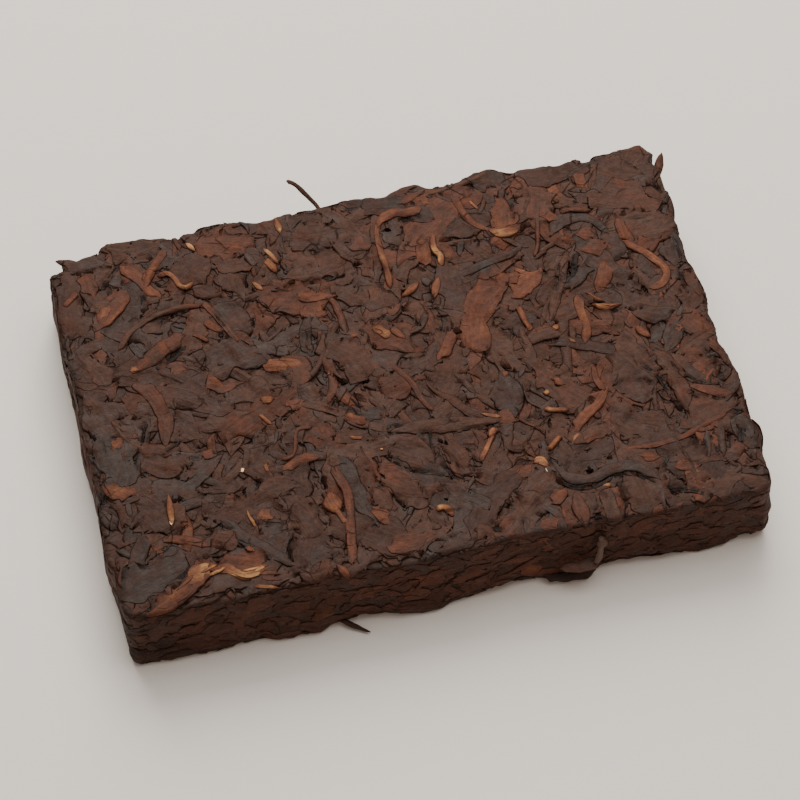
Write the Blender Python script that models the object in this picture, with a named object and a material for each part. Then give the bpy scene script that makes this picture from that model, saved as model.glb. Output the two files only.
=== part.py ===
"""A pressed tea brick: one slab of compacted leaves, with the stalks and slivers that stand out of it.

Frame: metres, +Z up. The origin is the centre of the flat underside, +X runs along the length
and +Y towards the back. Run with: blender --background --python part.py
"""

import math
import random

import bmesh
import bpy
from mathutils import Vector, noise

# Driving dimensions of the slab.
LENGTH = 0.150
DEPTH = 0.102
HEIGHT = 0.0215

# Surface cells that the slab is cut into before it is shaped.
TOP_CELL = 0.0022
SIDE_CELL = 0.0036

# Outline: round plan corners, and sides that swell and fall in. A swell is (its place along the
# side, its half width, its depth), and a negative depth is a hollow.
CORNER_RADIUS = 0.0035
SWELL_REACH = 0.012
SWELLS = {
    "left": ((0.030, 0.012, 0.0006), (0.002, 0.010, 0.0008), (-0.026, 0.012, 0.0010)),
    "right": ((0.014, 0.012, -0.0012), (-0.024, 0.014, 0.0009), (-0.038, 0.006, 0.0009)),
    "front": (
        (-0.052, 0.010, 0.0004),
        (-0.006, 0.012, 0.0006),
        (0.018, 0.007, -0.0006),
        (0.061, 0.008, 0.0005),
    ),
    "back": (
        (-0.054, 0.008, 0.0010),
        (-0.043, 0.003, -0.0005),
        (-0.033, 0.005, 0.0009),
        (-0.003, 0.006, 0.0008),
        (0.0145, 0.003, 0.0015),
        (0.033, 0.004, 0.0015),
        (0.046, 0.006, -0.0006),
    ),
}

# Worn rims: how far the top and bottom rims stand in from the side.
TOP_RIM_WEAR = 0.0006
BOTTOM_RIM_WEAR = 0.0013
BOTTOM_RIM_SWING = 0.0010
WEAR_WAVELENGTH = 0.034

# The front's bottom rim is scalloped right of a plain stretch, and its right corner is crumbled.
SCALLOP_DEPTH = 0.0013
SCALLOP_PLACE = -0.004
SCALLOP_WAVELENGTH = 0.033
SCALLOP_START = (-0.030, -0.010)
CRUMBLED_CORNER = (0.073, 0.006, 0.0020)

# Pressed leaves that show as relief on the top.
LEAF_COUNT = 260
LEAF_LENGTH = (0.009, 0.026)
LEAF_WIDTH = (0.0035, 0.0075)
LEAF_CROWN = 0.0004
LEAF_LEVELS = 0.0005
GROOVE_DEPTH = 0.0010

# Layers of leaf edges that show on the four sides.
LAYER_RELIEF = 0.0005
LAYER_SIZE = (0.0110, 0.0030)

# Broken corners at the back, as (sign of x, reach along x, reach along y, share taken away).
CHIP_DEPTH = 0.011
CHIPS = (
    (-1, 0.014, 0.0052, 0.60),
    (1, 0.0036, 0.0070, 0.55),
)

# Loose pieces keep this gap to the slab and to the surface that it stands on.
GAP = 0.0003
STALK_SIDES = 3

SEED = 41


def clear_scene():
    for obj in list(bpy.data.objects):
        bpy.data.objects.remove(obj)


def finish_material(name, colour, roughness):
    material = bpy.data.materials.new(name)
    material.use_nodes = True
    shader = material.node_tree.nodes["Principled BSDF"]
    shader.inputs["Base Color"].default_value = (*colour, 1.0)
    shader.inputs["Roughness"].default_value = roughness
    shader.inputs["Metallic"].default_value = 0.0
    return material


def add_object(name, data, material):
    obj = bpy.data.objects.new(name, data)
    bpy.context.scene.collection.objects.link(obj)
    data.materials.append(material)
    return obj


# ---- The slab ----


def cut_block():
    """A block standing on z = 0, cut into cells, whose underside stays one face."""
    bm = bmesh.new()
    bmesh.ops.create_cube(bm, size=1.0)
    bmesh.ops.scale(bm, vec=(LENGTH, DEPTH, HEIGHT), verts=bm.verts)
    bmesh.ops.translate(bm, vec=(0, 0, HEIGHT / 2), verts=bm.verts)
    starts = (-LENGTH / 2, -DEPTH / 2, 0.0)
    cells = (TOP_CELL, TOP_CELL, SIDE_CELL)
    for axis, side in enumerate((LENGTH, DEPTH, HEIGHT)):
        count = round(side / cells[axis])
        for step in range(1, count):
            place = Vector((0, 0, 0))
            place[axis] = starts[axis] + side * step / count
            normal = Vector((0, 0, 0))
            normal[axis] = 1.0
            everything = bm.verts[:] + bm.edges[:] + bm.faces[:]
            bmesh.ops.bisect_plane(bm, geom=everything, plane_co=place, plane_no=normal)
    bm.normal_update()
    underside = [face for face in bm.faces if face.normal.z < -0.5]
    bmesh.ops.dissolve_faces(bm, faces=underside, use_verts=False)
    return bm


def pressed_leaves():
    """Where the leaves lie on the top, lowest first: (x, y, heading, half length, half width, level)."""
    pick = random.Random(SEED)
    leaves = []
    for _ in range(LEAF_COUNT):
        leaves.append(
            (
                pick.uniform(-LENGTH / 2, LENGTH / 2),
                pick.uniform(-DEPTH / 2, DEPTH / 2),
                pick.uniform(0, math.pi),
                pick.uniform(*LEAF_LENGTH) / 2,
                pick.uniform(*LEAF_WIDTH) / 2,
                pick.uniform(0, LEAF_LEVELS),
            )
        )
    return leaves


def leaf_relief(x, y, leaves):
    """Height of the pressed surface below the full height: grooves, and crowned leaves over them."""
    height = -GROOVE_DEPTH
    for leaf_x, leaf_y, heading, half_length, half_width, level in leaves:
        dx = x - leaf_x
        dy = y - leaf_y
        along = (dx * math.cos(heading) + dy * math.sin(heading)) / half_length
        across = (dy * math.cos(heading) - dx * math.sin(heading)) / half_width
        spread = along * along + across * across
        if spread < 1:
            height = level + LEAF_CROWN * math.sqrt(1 - spread) - GROOVE_DEPTH
    return height


def round_plan(x, y):
    """Takes a point of the rectangle to the rectangle with round corners, keeping the grid in order."""
    core_x = max(-LENGTH / 2 + CORNER_RADIUS, min(LENGTH / 2 - CORNER_RADIUS, x))
    core_y = max(-DEPTH / 2 + CORNER_RADIUS, min(DEPTH / 2 - CORNER_RADIUS, y))
    off_x = x - core_x
    off_y = y - core_y
    reach = math.hypot(off_x, off_y)
    if reach == 0:
        return Vector((x, y)), Vector((0, 0))
    scale = max(abs(off_x), abs(off_y)) / reach
    return Vector((core_x + off_x * scale, core_y + off_y * scale)), Vector((off_x, off_y)) / reach


def outline_swell(x, y):
    """How far the outline swells out there: full at a side, and gone SWELL_REACH inside it."""
    offset = Vector((0, 0))
    sides = (
        (0, -1, "left", y, LENGTH / 2 + x),
        (0, 1, "right", y, LENGTH / 2 - x),
        (1, -1, "front", x, DEPTH / 2 + y),
        (1, 1, "back", x, DEPTH / 2 - y),
    )
    for axis, sign, name, along, inside in sides:
        share = max(0.0, 1 - inside / SWELL_REACH)
        for place, half, depth in SWELLS[name]:
            offset[axis] += sign * share * depth * math.exp(-(((along - place) / half) ** 2))
    return offset


def chipped(point, depth_below_top):
    """Pushes a point away from a broken corner: its distance from the corner is squeezed outwards."""
    for side, reach_x, reach_y, share in CHIPS:
        corner = Vector((side * LENGTH / 2, DEPTH / 2))
        away = point - corner
        distance = math.hypot(away.x / reach_x, away.y / reach_y)
        if 0 < distance < 1:
            taken = share * max(0.0, 1 - depth_below_top / CHIP_DEPTH)
            point = corner + away * ((1 - (1 - distance) * (1 - taken)) / distance)
    return point


def rim_wear(x, y, outward):
    """How far the bottom rim stands in from the side, which swings along the outline."""
    wear = BOTTOM_RIM_WEAR + BOTTOM_RIM_SWING * noise.noise(Vector((x, y, 0)) / WEAR_WAVELENGTH)
    if outward.y < -0.5:
        start, full = SCALLOP_START
        share = max(0.0, min(1.0, (x - start) / (full - start)))
        wear -= share * SCALLOP_DEPTH * math.cos(2 * math.pi * (x - SCALLOP_PLACE) / SCALLOP_WAVELENGTH)
        place, reach, depth = CRUMBLED_CORNER
        wear += depth * math.exp(-(((x - place) / reach) ** 2))
    return max(wear, 0.0)


def side_relief(x, y, z):
    """Proud and hollow layers on a side: noise that is long along the side and short in height."""
    long_size, short_size = LAYER_SIZE
    return LAYER_RELIEF * noise.noise(Vector((x / long_size, y / long_size, z / short_size)))


def shape_slab(bm):
    leaves = pressed_leaves()
    tiny = TOP_CELL / 100
    for vert in bm.verts:
        x, y, z = vert.co
        on_side = abs(x) > LENGTH / 2 - tiny or abs(y) > DEPTH / 2 - tiny
        at_top = z > HEIGHT - tiny
        at_bottom = z < tiny
        plan, outward = round_plan(x, y)
        plan += outline_swell(x, y)
        if at_bottom:
            plan -= outward * rim_wear(x, y, outward)
        elif on_side and at_top:
            plan -= outward * TOP_RIM_WEAR
            z -= TOP_RIM_WEAR
        elif on_side:
            plan += outward * side_relief(x, y, z)
        plan = chipped(plan, HEIGHT - z)
        if at_top:
            z += leaf_relief(x, y, leaves)
        vert.co = (plan.x, plan.y, z)


def build_slab(material):
    bm = cut_block()
    shape_slab(bm)
    bmesh.ops.triangulate(bm, faces=bm.faces)
    bmesh.ops.recalc_face_normals(bm, faces=bm.faces)
    mesh = bpy.data.meshes.new("tea_brick")
    bm.to_mesh(mesh)
    bm.free()
    return add_object("tea_brick", mesh, material)


# ---- Stalks and slivers that stand out of the slab ----


def smooth_route(points, per_span=4):
    """Points along the Catmull-Rom curve through the given points."""
    guides = [points[0]] + list(points) + [points[-1]]
    route = []
    for first, start, end, last in zip(guides, guides[1:], guides[2:], guides[3:]):
        for step in range(per_span):
            t = step / per_span
            a, b, c, d = (Vector(p) for p in (first, start, end, last))
            bend = (2 * a - 5 * b + 4 * c - d) * t * t + (3 * b - a - 3 * c + d) * t**3
            route.append((2 * b + (c - a) * t + bend) / 2)
    return route + [Vector(points[-1])]


def build_stalk(name, points, thick, thin, material):
    """A round stalk along a smooth route, which tapers from one thickness to the other."""
    route = smooth_route(points)
    curve = bpy.data.curves.new(name, "CURVE")
    curve.dimensions = "3D"
    curve.bevel_depth = 1.0
    curve.bevel_resolution = STALK_SIDES
    curve.use_fill_caps = True
    spline = curve.splines.new("POLY")
    spline.points.add(len(route) - 1)
    for index, (point, place) in enumerate(zip(spline.points, route)):
        share = index / (len(route) - 1)
        point.co = (*place, 1.0)
        point.radius = (thick + (thin - thick) * share) / 2
    return add_object(name, curve, material)


def build_sliver(name, base, tip, width, thickness, material, spans=6):
    """A flat pointed leaf sliver: rings along base to tip whose width swells and then closes."""
    base, tip = Vector(base), Vector(tip)
    along = (tip - base).normalized()
    flat = along.cross(Vector((0, 0, 1))).normalized()
    normal = flat.cross(along)
    bm = bmesh.new()
    rings = []
    for step in range(spans + 1):
        share = step / spans
        half = width / 2 * (0.25 + 0.75 * math.sin(math.pi * (0.25 + 0.70 * share)))
        middle = base.lerp(tip, share)
        thin = thickness / 2 * (1 - 0.6 * share)
        offsets = ((half, 0), (0, thin), (-half, 0), (0, -thin))
        rings.append([bm.verts.new(middle + flat * a + normal * b) for a, b in offsets])
    for ring, following in zip(rings, rings[1:]):
        for index in range(4):
            after = (index + 1) % 4
            bm.faces.new((ring[index], ring[after], following[after], following[index]))
    bm.faces.new(rings[0])
    bm.faces.new(rings[-1])
    bmesh.ops.recalc_face_normals(bm, faces=bm.faces)
    mesh = bpy.data.meshes.new(name)
    bm.to_mesh(mesh)
    bm.free()
    return add_object(name, mesh, material)


def build_loose_pieces(stalk_material, sliver_material):
    """Stalks and slivers that stand clear of the slab, each a gap away from the side it grows from."""
    back = DEPTH / 2
    front = -DEPTH / 2
    left = -LENGTH / 2
    right = LENGTH / 2
    build_stalk(
        "back_stalk",
        [
            (-0.0072, back + 0.0016, HEIGHT - 0.0034),
            (-0.0080, back + 0.0032, HEIGHT - 0.0020),
            (-0.0098, back + 0.0056, HEIGHT - 0.0004),
            (-0.0130, back + 0.0080, HEIGHT + 0.0004),
        ],
        thick=0.0012,
        thin=0.0008,
        material=stalk_material,
    )
    build_stalk(
        "front_twig",
        [
            (0.0343, front - 0.0016, 0.0158),
            (0.0340, front - 0.0018, 0.0120),
            (0.0333, front - 0.0020, 0.0080),
            (0.0318, front - 0.0022, 0.0063),
            (0.0290, front - 0.0022, 0.0060),
            (0.0262, front - 0.0018, 0.0063),
        ],
        thick=0.0014,
        thin=0.0011,
        material=stalk_material,
    )
    build_sliver(
        "front_splinter",
        base=(-0.0252, front - 0.0008, 0.0014),
        tip=(-0.0205, front - 0.0040, 0.0009),
        width=0.0014,
        thickness=0.0008,
        material=sliver_material,
    )
    build_sliver(
        "corner_sliver",
        base=(right + 0.0004, back - 0.0090, HEIGHT - 0.0016),
        tip=(right + 0.0009, back - 0.0033, HEIGHT - 0.0004),
        width=0.0018,
        thickness=0.0008,
        material=sliver_material,
    )
    build_sliver(
        "back_sliver",
        base=(left + 0.0052, back - 0.0016, HEIGHT - 0.0010),
        tip=(left + 0.0024, back - 0.0006, HEIGHT - 0.0003),
        width=0.0016,
        thickness=0.0008,
        material=sliver_material,
    )


def main():
    clear_scene()
    pressed_leaf = finish_material("pressed_leaf", (0.045, 0.027, 0.022), 0.62)
    stalk = finish_material("stalk", (0.130, 0.060, 0.038), 0.60)
    build_slab(pressed_leaf)
    build_loose_pieces(stalk, pressed_leaf)


main()
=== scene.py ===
"""A pressed tea brick: leaves, stalks, buds and crumbs laid over a smaller core.

Every leaf is a closed, flattened tube along a winding route. It is laid on a pile, which is a grid
of heights over a chart: the top, the four sides unrolled, or the underside. It settles on what lies
below it. When all are laid, the pile is pressed level and its chart is folded round the slab.
"""

import math
from functools import lru_cache
from typing import NamedTuple

import bpy
import numpy as np
from bpy.props import FloatProperty, FloatVectorProperty, IntProperty, PointerProperty
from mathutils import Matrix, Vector
from mathutils.bvhtree import BVHTree


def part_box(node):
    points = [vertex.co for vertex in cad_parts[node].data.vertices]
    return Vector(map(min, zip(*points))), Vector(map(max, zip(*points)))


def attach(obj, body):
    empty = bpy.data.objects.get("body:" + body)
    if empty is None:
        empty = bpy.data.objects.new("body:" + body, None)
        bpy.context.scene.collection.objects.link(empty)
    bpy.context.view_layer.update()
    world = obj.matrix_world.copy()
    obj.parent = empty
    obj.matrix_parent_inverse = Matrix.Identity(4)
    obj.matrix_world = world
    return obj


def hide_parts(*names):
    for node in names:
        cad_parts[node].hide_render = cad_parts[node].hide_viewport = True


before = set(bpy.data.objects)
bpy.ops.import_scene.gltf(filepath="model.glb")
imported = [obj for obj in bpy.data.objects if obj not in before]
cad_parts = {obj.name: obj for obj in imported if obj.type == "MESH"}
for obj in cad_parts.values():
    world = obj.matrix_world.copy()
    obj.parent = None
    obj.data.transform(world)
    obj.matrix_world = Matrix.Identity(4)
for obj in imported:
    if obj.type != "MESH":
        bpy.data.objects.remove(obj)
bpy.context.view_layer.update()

bl_info = {
    "name": "Pressed Tea Brick",
    "version": (1, 0, 0),
    "blender": (4, 5, 0),
    "location": "3D View > Sidebar > Tea Brick",
    "description": "Builds a pressed tea brick out of leaves, stalks, buds and crumbs",
    "category": "Object",
}

MM = 0.001

# ---- The slab that the leaves are laid on, read from the frame ----

SLAB_LOW, SLAB_HIGH = (np.array(corner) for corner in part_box("tea_brick"))
CENTRE = (SLAB_LOW[:2] + SLAB_HIGH[:2]) / 2
HALF = (SLAB_HIGH[:2] - SLAB_LOW[:2]) / 2
TOP = SLAB_HIGH[2]

# The charts turn their corners round an inner rectangle, this far in from the slab's box.
INSET = 8 * MM
INNER = HALF - INSET

# Radii that the rims of the top and the underside are rounded to.
TOP_RIM = 1.0 * MM
UNDER_RIM = 0.8 * MM

# Heights between which the chart of the sides runs.
SIDE_LOW, SIDE_HIGH = 0.12 * MM, TOP - 0.35 * MM

# How far the core lies below the heights of the lowest leaves, which give it its relief.
CORE_SINK = 0.08 * MM

# A seed for each pattern of noise.
WRINKLES, BUCKLES, FOLDS, CURLS, PATCHES, MOTTLES, RAGGED = 3, 5, 7, 9, 11, 13, 17

# Corners of the walk round the slab, from the left end of the front: places on the inner
# rectangle, and how far the outward direction has turned, in quarters.
WALK_X = np.array([-1, 1, 1, 1, 1, -1, -1, -1, -1]) * INNER[0]
WALK_Y = np.array([-1, -1, -1, 1, 1, 1, 1, -1, -1]) * INNER[1]
WALK_TURN = np.array([0, 0, 1, 1, 2, 2, 3, 3, 4]) * math.pi / 2
WALK_GIRTH = np.concatenate(
    [[0], np.cumsum(np.hypot(np.diff(WALK_X), np.diff(WALK_Y)) + INSET * np.diff(WALK_TURN))]
)
GIRTH = WALK_GIRTH[-1]


def sample(table, row, column, around=False):
    """Value of a table at fractional rows and columns, blended from the four cells around."""
    rows, columns = table.shape
    row = row % rows if around else np.clip(row, 0, rows - 1.001)
    column = np.clip(column, 0, columns - 1.001)
    i, j = row.astype(int), column.astype(int)
    u, v = row - i, column - j
    below = (i + 1) % rows
    near = table[i, j] * (1 - v) + table[i, j + 1] * v
    far = table[below, j] * (1 - v) + table[below, j + 1] * v
    return near * (1 - u) + far * u


def walk(girth):
    """Place on the inner rectangle and outward direction, after a length walked round the slab."""
    girth = girth % GIRTH
    place = np.interp(girth, WALK_GIRTH, WALK_X), np.interp(girth, WALK_GIRTH, WALK_Y)
    turn = np.interp(girth, WALK_GIRTH, WALK_TURN)
    return place, (np.sin(turn), -np.cos(turn))


def girth_at(x, y):
    """For places outside the inner rectangle: girth, distance out from it, and nearest place on it."""
    near_x, near_y = np.clip(x, -INNER[0], INNER[0]), np.clip(y, -INNER[1], INNER[1])
    turn = (np.arctan2(y - near_y, x - near_x) + math.pi / 2) % (2 * math.pi)
    quarter = np.minimum((turn / (math.pi / 2)).astype(int), 3)
    wide, deep = 2 * INNER
    along = np.choose(
        quarter,
        [
            near_x + INNER[0],
            wide + near_y + INNER[1],
            wide + deep + INNER[0] - near_x,
            2 * wide + deep + INNER[1] - near_y,
        ],
    )
    out = np.hypot(x - near_x, y - near_y)
    return along + INSET * turn, out, near_x, near_y


# Bites torn out of the outline near the top, and bulges where the depth is below 0: where they
# are, half width and depth, in mm.
OUTLINE = (
    ((-65.4, 52), 3.5, 1.7),
    ((-69, 50), 1.0, 0.5),
    ((-73, 47.4), 2.3, 2.6),
    ((-56, 52), 5.0, -0.5),
    ((-44, 52), 1.8, 0.6),
    ((-33, 52), 6.0, -0.5),
    ((-21, 52), 3.6, 0.4),
    ((14.5, 52), 3.0, -0.8),
    ((21, 52), 3.0, 0.4),
    ((31, 52), 4.0, -0.4),
    ((35, 52), 1.2, -0.5),
    ((39, 52), 1.6, 0.6),
    ((58, 52), 1.5, 1.1),
    ((71.5, 52), 1.6, -0.7),
    ((75, 45.6), 2.0, 1.9),
    ((76, 33), 3.0, -0.6),
    ((76, 28), 1.4, 0.3),
    ((76, 8), 6.0, -1.0),
    ((76, -1), 1.2, 0.5),
    ((76, -8), 2.6, 0.6),
    ((76, -21), 5.0, -0.6),
    ((76, -35), 2.6, -0.8),
    ((76, -42), 2.4, 0.4),
    ((-76, 12), 6.0, 0.5),
    ((-76, 23), 1.4, 0.5),
    ((-76, -33), 3.0, -0.8),
    ((-76, -46), 4.0, -0.6),
    ((-29, -52), 2.0, 0.4),
    ((34, -52), 1.2, 0.9),
)

# Uneven stretches of the foot of the sides, written in the same way.
FOOTING = (
    ((-60, -52), 9.0, -0.6),
    ((-36, -52), 7.0, -1.7),
    ((-29, -52), 5.0, -0.6),
    ((-8, -52), 6.5, -1.3),
    ((38, -52), 3.5, 0.7),
    ((49, -52), 3.0, -0.5),
    ((68, -52), 3.0, 0.6),
    ((75, -50), 2.6, -0.9),
    ((-74.5, -51), 2.0, -0.7),
)

# The same half way up the sides.
WAIST = (((75.6, -47.5), 5.0, -1.1),)


def girth_gap(girth, x, y):
    """How far places along the girth are from the one nearest to (x, y)."""
    nearest = girth_at(np.array([x]) - CENTRE[0], np.array([y]) - CENTRE[1])[0]
    return np.abs((girth - nearest + GIRTH / 2) % GIRTH - GIRTH / 2)


@lru_cache
def reach_table():
    """How far the slab's sides stand out from the inner rectangle, by rays cast from inside it.

    Each stretch takes depth * exp(-(distance / half width)^6) away at its own part of the height,
    and less further off, and noise wears the rest away. The rays stay clear of the solid's rounded
    rims, since the charts round the rims themselves.
    """
    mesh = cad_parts["tea_brick"].data
    corners = [v.co for v in mesh.vertices]
    tree = BVHTree.FromPolygons(corners, [tuple(p.vertices) for p in mesh.polygons])
    girth_count, height_count = 720, 18
    girths = np.linspace(0, GIRTH, girth_count, endpoint=False)
    heights = np.linspace(2.0 * MM, TOP - 3.2 * MM, height_count)
    place, outward = walk(girths)
    table = np.empty((girth_count, height_count))
    for i in range(girth_count):
        direction = Vector((outward[0][i], outward[1][i], 0))
        for j, z in enumerate(heights):
            start = Vector((place[0][i] + CENTRE[0], place[1][i] + CENTRE[1], z))
            table[i, j] = tree.ray_cast(start, direction)[3]
    fade = np.clip((heights - 0.3 * TOP) / (0.5 * TOP), 0, 1)
    foot = np.clip((0.6 * TOP - heights) / (0.5 * TOP), 0, 1)
    waist = np.exp(-(((heights / TOP - 0.45) / 0.25) ** 2))
    for stretches, share in ((OUTLINE, fade), (FOOTING, foot), (WAIST, waist)):
        for (x, y), half_width, depth in stretches:
            gap = girth_gap(girths, x * MM, y * MM)
            table -= depth * MM * share * np.exp(-((gap / (half_width * MM)) ** 6))[:, None]
    ragged_depth = 0.30 * MM
    ragged = noise(girths[:, None], heights[None, :] * 0.5, 2.6 * MM, RAGGED)
    table += ragged_depth * np.minimum(ragged, 0) * (0.4 + 0.6 * fade)
    return girths, heights, table


def reach_at(girth, z):
    """How far the side stands out from the inner rectangle at a girth and height."""
    girths, heights, table = reach_table()
    row = girth / GIRTH * len(girths)
    column = (z - heights[0]) / (heights[-1] - heights[0]) * (len(heights) - 1)
    return sample(table, row, column, around=True)


def fold_over(x, y, lift, face):
    """Chart (x, y) and lift to a place on the top (face 1) or underside (face -1).

    Inside the rim the chart lies flat. Past it the chart turns a quarter circle, and then runs
    along the side. Lift is always at right angles to the surface.
    """
    rim = TOP_RIM if face > 0 else UNDER_RIM
    edge = TOP - rim if face > 0 else rim
    girth, out, near_x, near_y = girth_at(x - CENTRE[0], y - CENTRE[1])
    reach = reach_at(girth, np.full_like(girth, edge))
    over = np.maximum(out - (reach - rim), 0)
    turn = np.minimum(over / rim, math.pi / 2)
    down = np.maximum(over - rim * math.pi / 2, 0)
    beyond = np.where(down > 0, reach_at(girth, edge - face * down) - reach, 0)
    radius = np.where(over > 0, reach - rim + beyond + (rim + lift) * np.sin(turn), out)
    away = np.maximum(out, 1e-9)
    place_x = near_x + (x - CENTRE[0] - near_x) / away * radius + CENTRE[0]
    place_y = near_y + (y - CENTRE[1] - near_y) / away * radius + CENTRE[1]
    height = (TOP if face > 0 else 0) - face * (rim - (rim + lift) * np.cos(turn) + down)
    return np.stack([place_x, place_y, height], axis=-1)


def stand_on_side(girth, z, lift):
    """Chart (girth, z) and lift to a place on the sides, which round off at both rims.

    Past the start of a rim, t of the way up it, a side steps in by rim * (1 - sqrt(1 - t^2)).
    """
    z = np.clip(z, SIDE_LOW, SIDE_HIGH)
    place, outward = walk(girth)
    top_part = np.clip((z - (TOP - TOP_RIM)) / TOP_RIM, 0, 1)
    under_part = np.clip((UNDER_RIM - z) / UNDER_RIM, 0, 1)
    rounding = TOP_RIM * (1 - np.sqrt(1 - top_part**2))
    rounding = rounding + UNDER_RIM * (1 - np.sqrt(1 - under_part**2))
    radius = reach_at(girth, z) + lift - rounding
    return np.stack(
        [
            place[0] + outward[0] * radius + CENTRE[0],
            place[1] + outward[1] * radius + CENTRE[1],
            z,
        ],
        axis=-1,
    )


# ---- Noise, routes and widths ----


@lru_cache
def lattice(seed):
    """A square of random values from -1 to 1, the same each time for a seed."""
    return np.random.default_rng(seed).uniform(-1, 1, (256, 256))


def noise(x, y, wavelength, seed=1):
    """Smooth noise from -1 to 1: random values a wavelength apart, blended by 3t^2 - 2t^3."""
    u, v = x / wavelength, y / wavelength
    i, j = np.floor(u).astype(int), np.floor(v).astype(int)
    a, b = u - i, v - j
    a, b = a * a * (3 - 2 * a), b * b * (3 - 2 * b)
    grid = lattice(seed)
    i0, j0, i1, j1 = i & 255, j & 255, (i + 1) & 255, (j + 1) & 255
    near = grid[i0, j0] * (1 - b) + grid[i0, j1] * b
    far = grid[i1, j0] * (1 - b) + grid[i1, j1] * b
    return near * (1 - a) + far * a


def wandering_route(rng, centre, heading, length, bend, wiggle, rows):
    """A route of a length through a place, whose heading turns by bend in all and sways by wiggle."""
    t = np.linspace(0, 1, rows)
    sway = np.sin(2 * math.pi * (t * rng.uniform(0.6, 1.5) + rng.uniform()))
    angle = heading + bend * (t - 0.5) + wiggle * sway
    points = np.cumsum(np.stack([np.cos(angle), np.sin(angle)], axis=1), axis=0) * length / (rows - 1)
    return points - points.mean(axis=0) + centre


def smooth_route(points, rows):
    """A route through the given points (a Catmull-Rom curve), with evenly spaced rows."""
    points = np.asarray(points, float)
    guides = np.concatenate([[2 * points[0] - points[1]], points, [2 * points[-1] - points[-2]]])
    t = np.linspace(0, 1, 12, endpoint=False)[:, None]
    spans = []
    for a, b, c, d in zip(guides, guides[1:], guides[2:], guides[3:]):
        bend = (2 * a - 5 * b + 4 * c - d) * t**2 + (3 * b - a - 3 * c + d) * t**3
        spans.append((2 * b + (c - a) * t + bend) / 2)
    dense = np.concatenate(spans + [points[-1:]])
    run = np.concatenate([[0], np.cumsum(np.linalg.norm(np.diff(dense, axis=0), axis=1))])
    even = np.linspace(0, run[-1], rows)
    return np.stack([np.interp(even, run, dense[:, k]) for k in range(dense.shape[1])], axis=1)


def torn_width(rng, run, half, ends, ragged):
    """Half width along a route: it opens over the shares at its ends as (t / share)^0.55.

    Two noises, 3.1 and 1.2 mm long, make its edge ragged.
    """
    t = run / run[-1]
    start, finish = ends
    open_up = np.minimum(1, np.maximum(t, 0) / start) ** 0.55
    close_down = np.minimum(1, np.maximum(1 - t, 0) / finish) ** 0.55
    shift = rng.uniform(0, 200)
    edge = 0.65 * noise(run + shift * MM, run * 0, 3.1 * MM)
    edge = edge + 0.35 * noise(run, run * 0 + shift * MM, 1.2 * MM)
    return half * np.maximum(open_up * close_down, 0.10) * (1 + ragged * edge)


# ---- The pile ----


def spread(values, times):
    """Smooths along both axes by 1-2-1, with the ends held."""
    for _ in range(times):
        padded = np.pad(values, 1, mode="edge")
        values = (padded[:-2, 1:-1] + 2 * padded[1:-1, 1:-1] + padded[2:, 1:-1]) / 4
        padded = np.pad(values, 1, mode="edge")
        values = (padded[1:-1, :-2] + 2 * padded[1:-1, 1:-1] + padded[1:-1, 2:]) / 4
    return values


def highest_near(values):
    """The highest value among each value and its eight neighbours."""
    padded = np.pad(values, 1, mode="edge")
    lengthways = np.maximum(np.maximum(padded[:-2, 1:-1], padded[1:-1, 1:-1]), padded[2:, 1:-1])
    padded = np.pad(lengthways, 1, mode="edge")
    return np.maximum(np.maximum(padded[1:-1, :-2], padded[1:-1, 1:-1]), padded[1:-1, 2:])


def finer(values, times=3):
    """The same surface with more rows and columns, by straight lines between them."""
    rows, columns = values.shape
    row = np.linspace(0, rows - 1, times * (rows - 1) + 1)
    column = np.linspace(0, columns - 1, times * (columns - 1) + 1)
    return sample(values, *np.meshgrid(row, column, indexing="ij"))


class Pile:
    """Heights of all that is laid so far, over a chart. The first axis may run round to its start."""

    # Cells added past each open edge while the pile is blurred.
    pad = 40

    def __init__(self, low, high, cell, around=False):
        self.low = np.array(low)
        self.around = around
        ends = np.array((0 if around else 1, 1))
        span = np.array(high) - low
        self.shape = tuple(int(round(n)) + int(end) for n, end in zip(span / cell, ends))
        self.cell = span / (np.array(self.shape) - ends)
        self.heights = np.zeros(self.shape)

    def cells(self, a, b):
        """Places on the chart as fractional rows and columns."""
        return (a - self.low[0]) / self.cell[0], (b - self.low[1]) / self.cell[1]

    def read(self, a, b, table=None):
        """The pile's height, or another table's value, at places on the chart."""
        table = self.heights if table is None else table
        return sample(table, *self.cells(a, b), around=self.around)

    def raise_to(self, a, b, height):
        """Raises the cells nearest to the places to the heights, where they are lower."""
        i, j = (np.round(c).astype(int) for c in self.cells(a, b))
        if self.around:
            i = i % self.shape[0]
        inside = (i >= 0) & (i < self.shape[0]) & (j >= 0) & (j < self.shape[1])
        i, j, height = i[inside], j[inside], height[inside]
        self.heights[i, j] = np.maximum(self.heights[i, j], height)

    def blurred(self, table, radius):
        """The table smoothed by a bell curve: its spectrum times exp(-2 (pi * radius * rate)^2)."""
        both = (self.pad, self.pad)
        pad = [(0, 0) if self.around else both, both]
        wide = np.pad(table, pad, mode="edge")
        spectrum = np.fft.rfft2(wide)
        f = np.fft.fftfreq(wide.shape[0], self.cell[0])[:, None]
        g = np.fft.rfftfreq(wide.shape[1], self.cell[1])[None, :]
        spectrum *= np.exp(-2 * (math.pi * radius) ** 2 * (f**2 + g**2))
        smooth = np.fft.irfft2(spectrum, wide.shape)
        return smooth[pad[0][0] : wide.shape[0] - pad[0][1], self.pad : -self.pad]


# ---- One leaf ----

# Tones run along the palette: 0 slate, 0.2 chocolate, 0.42 brown, 0.61 red brown, 0.76 orange
# brown, 0.87 tan, 0.95 golden, 1 pale.

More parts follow.
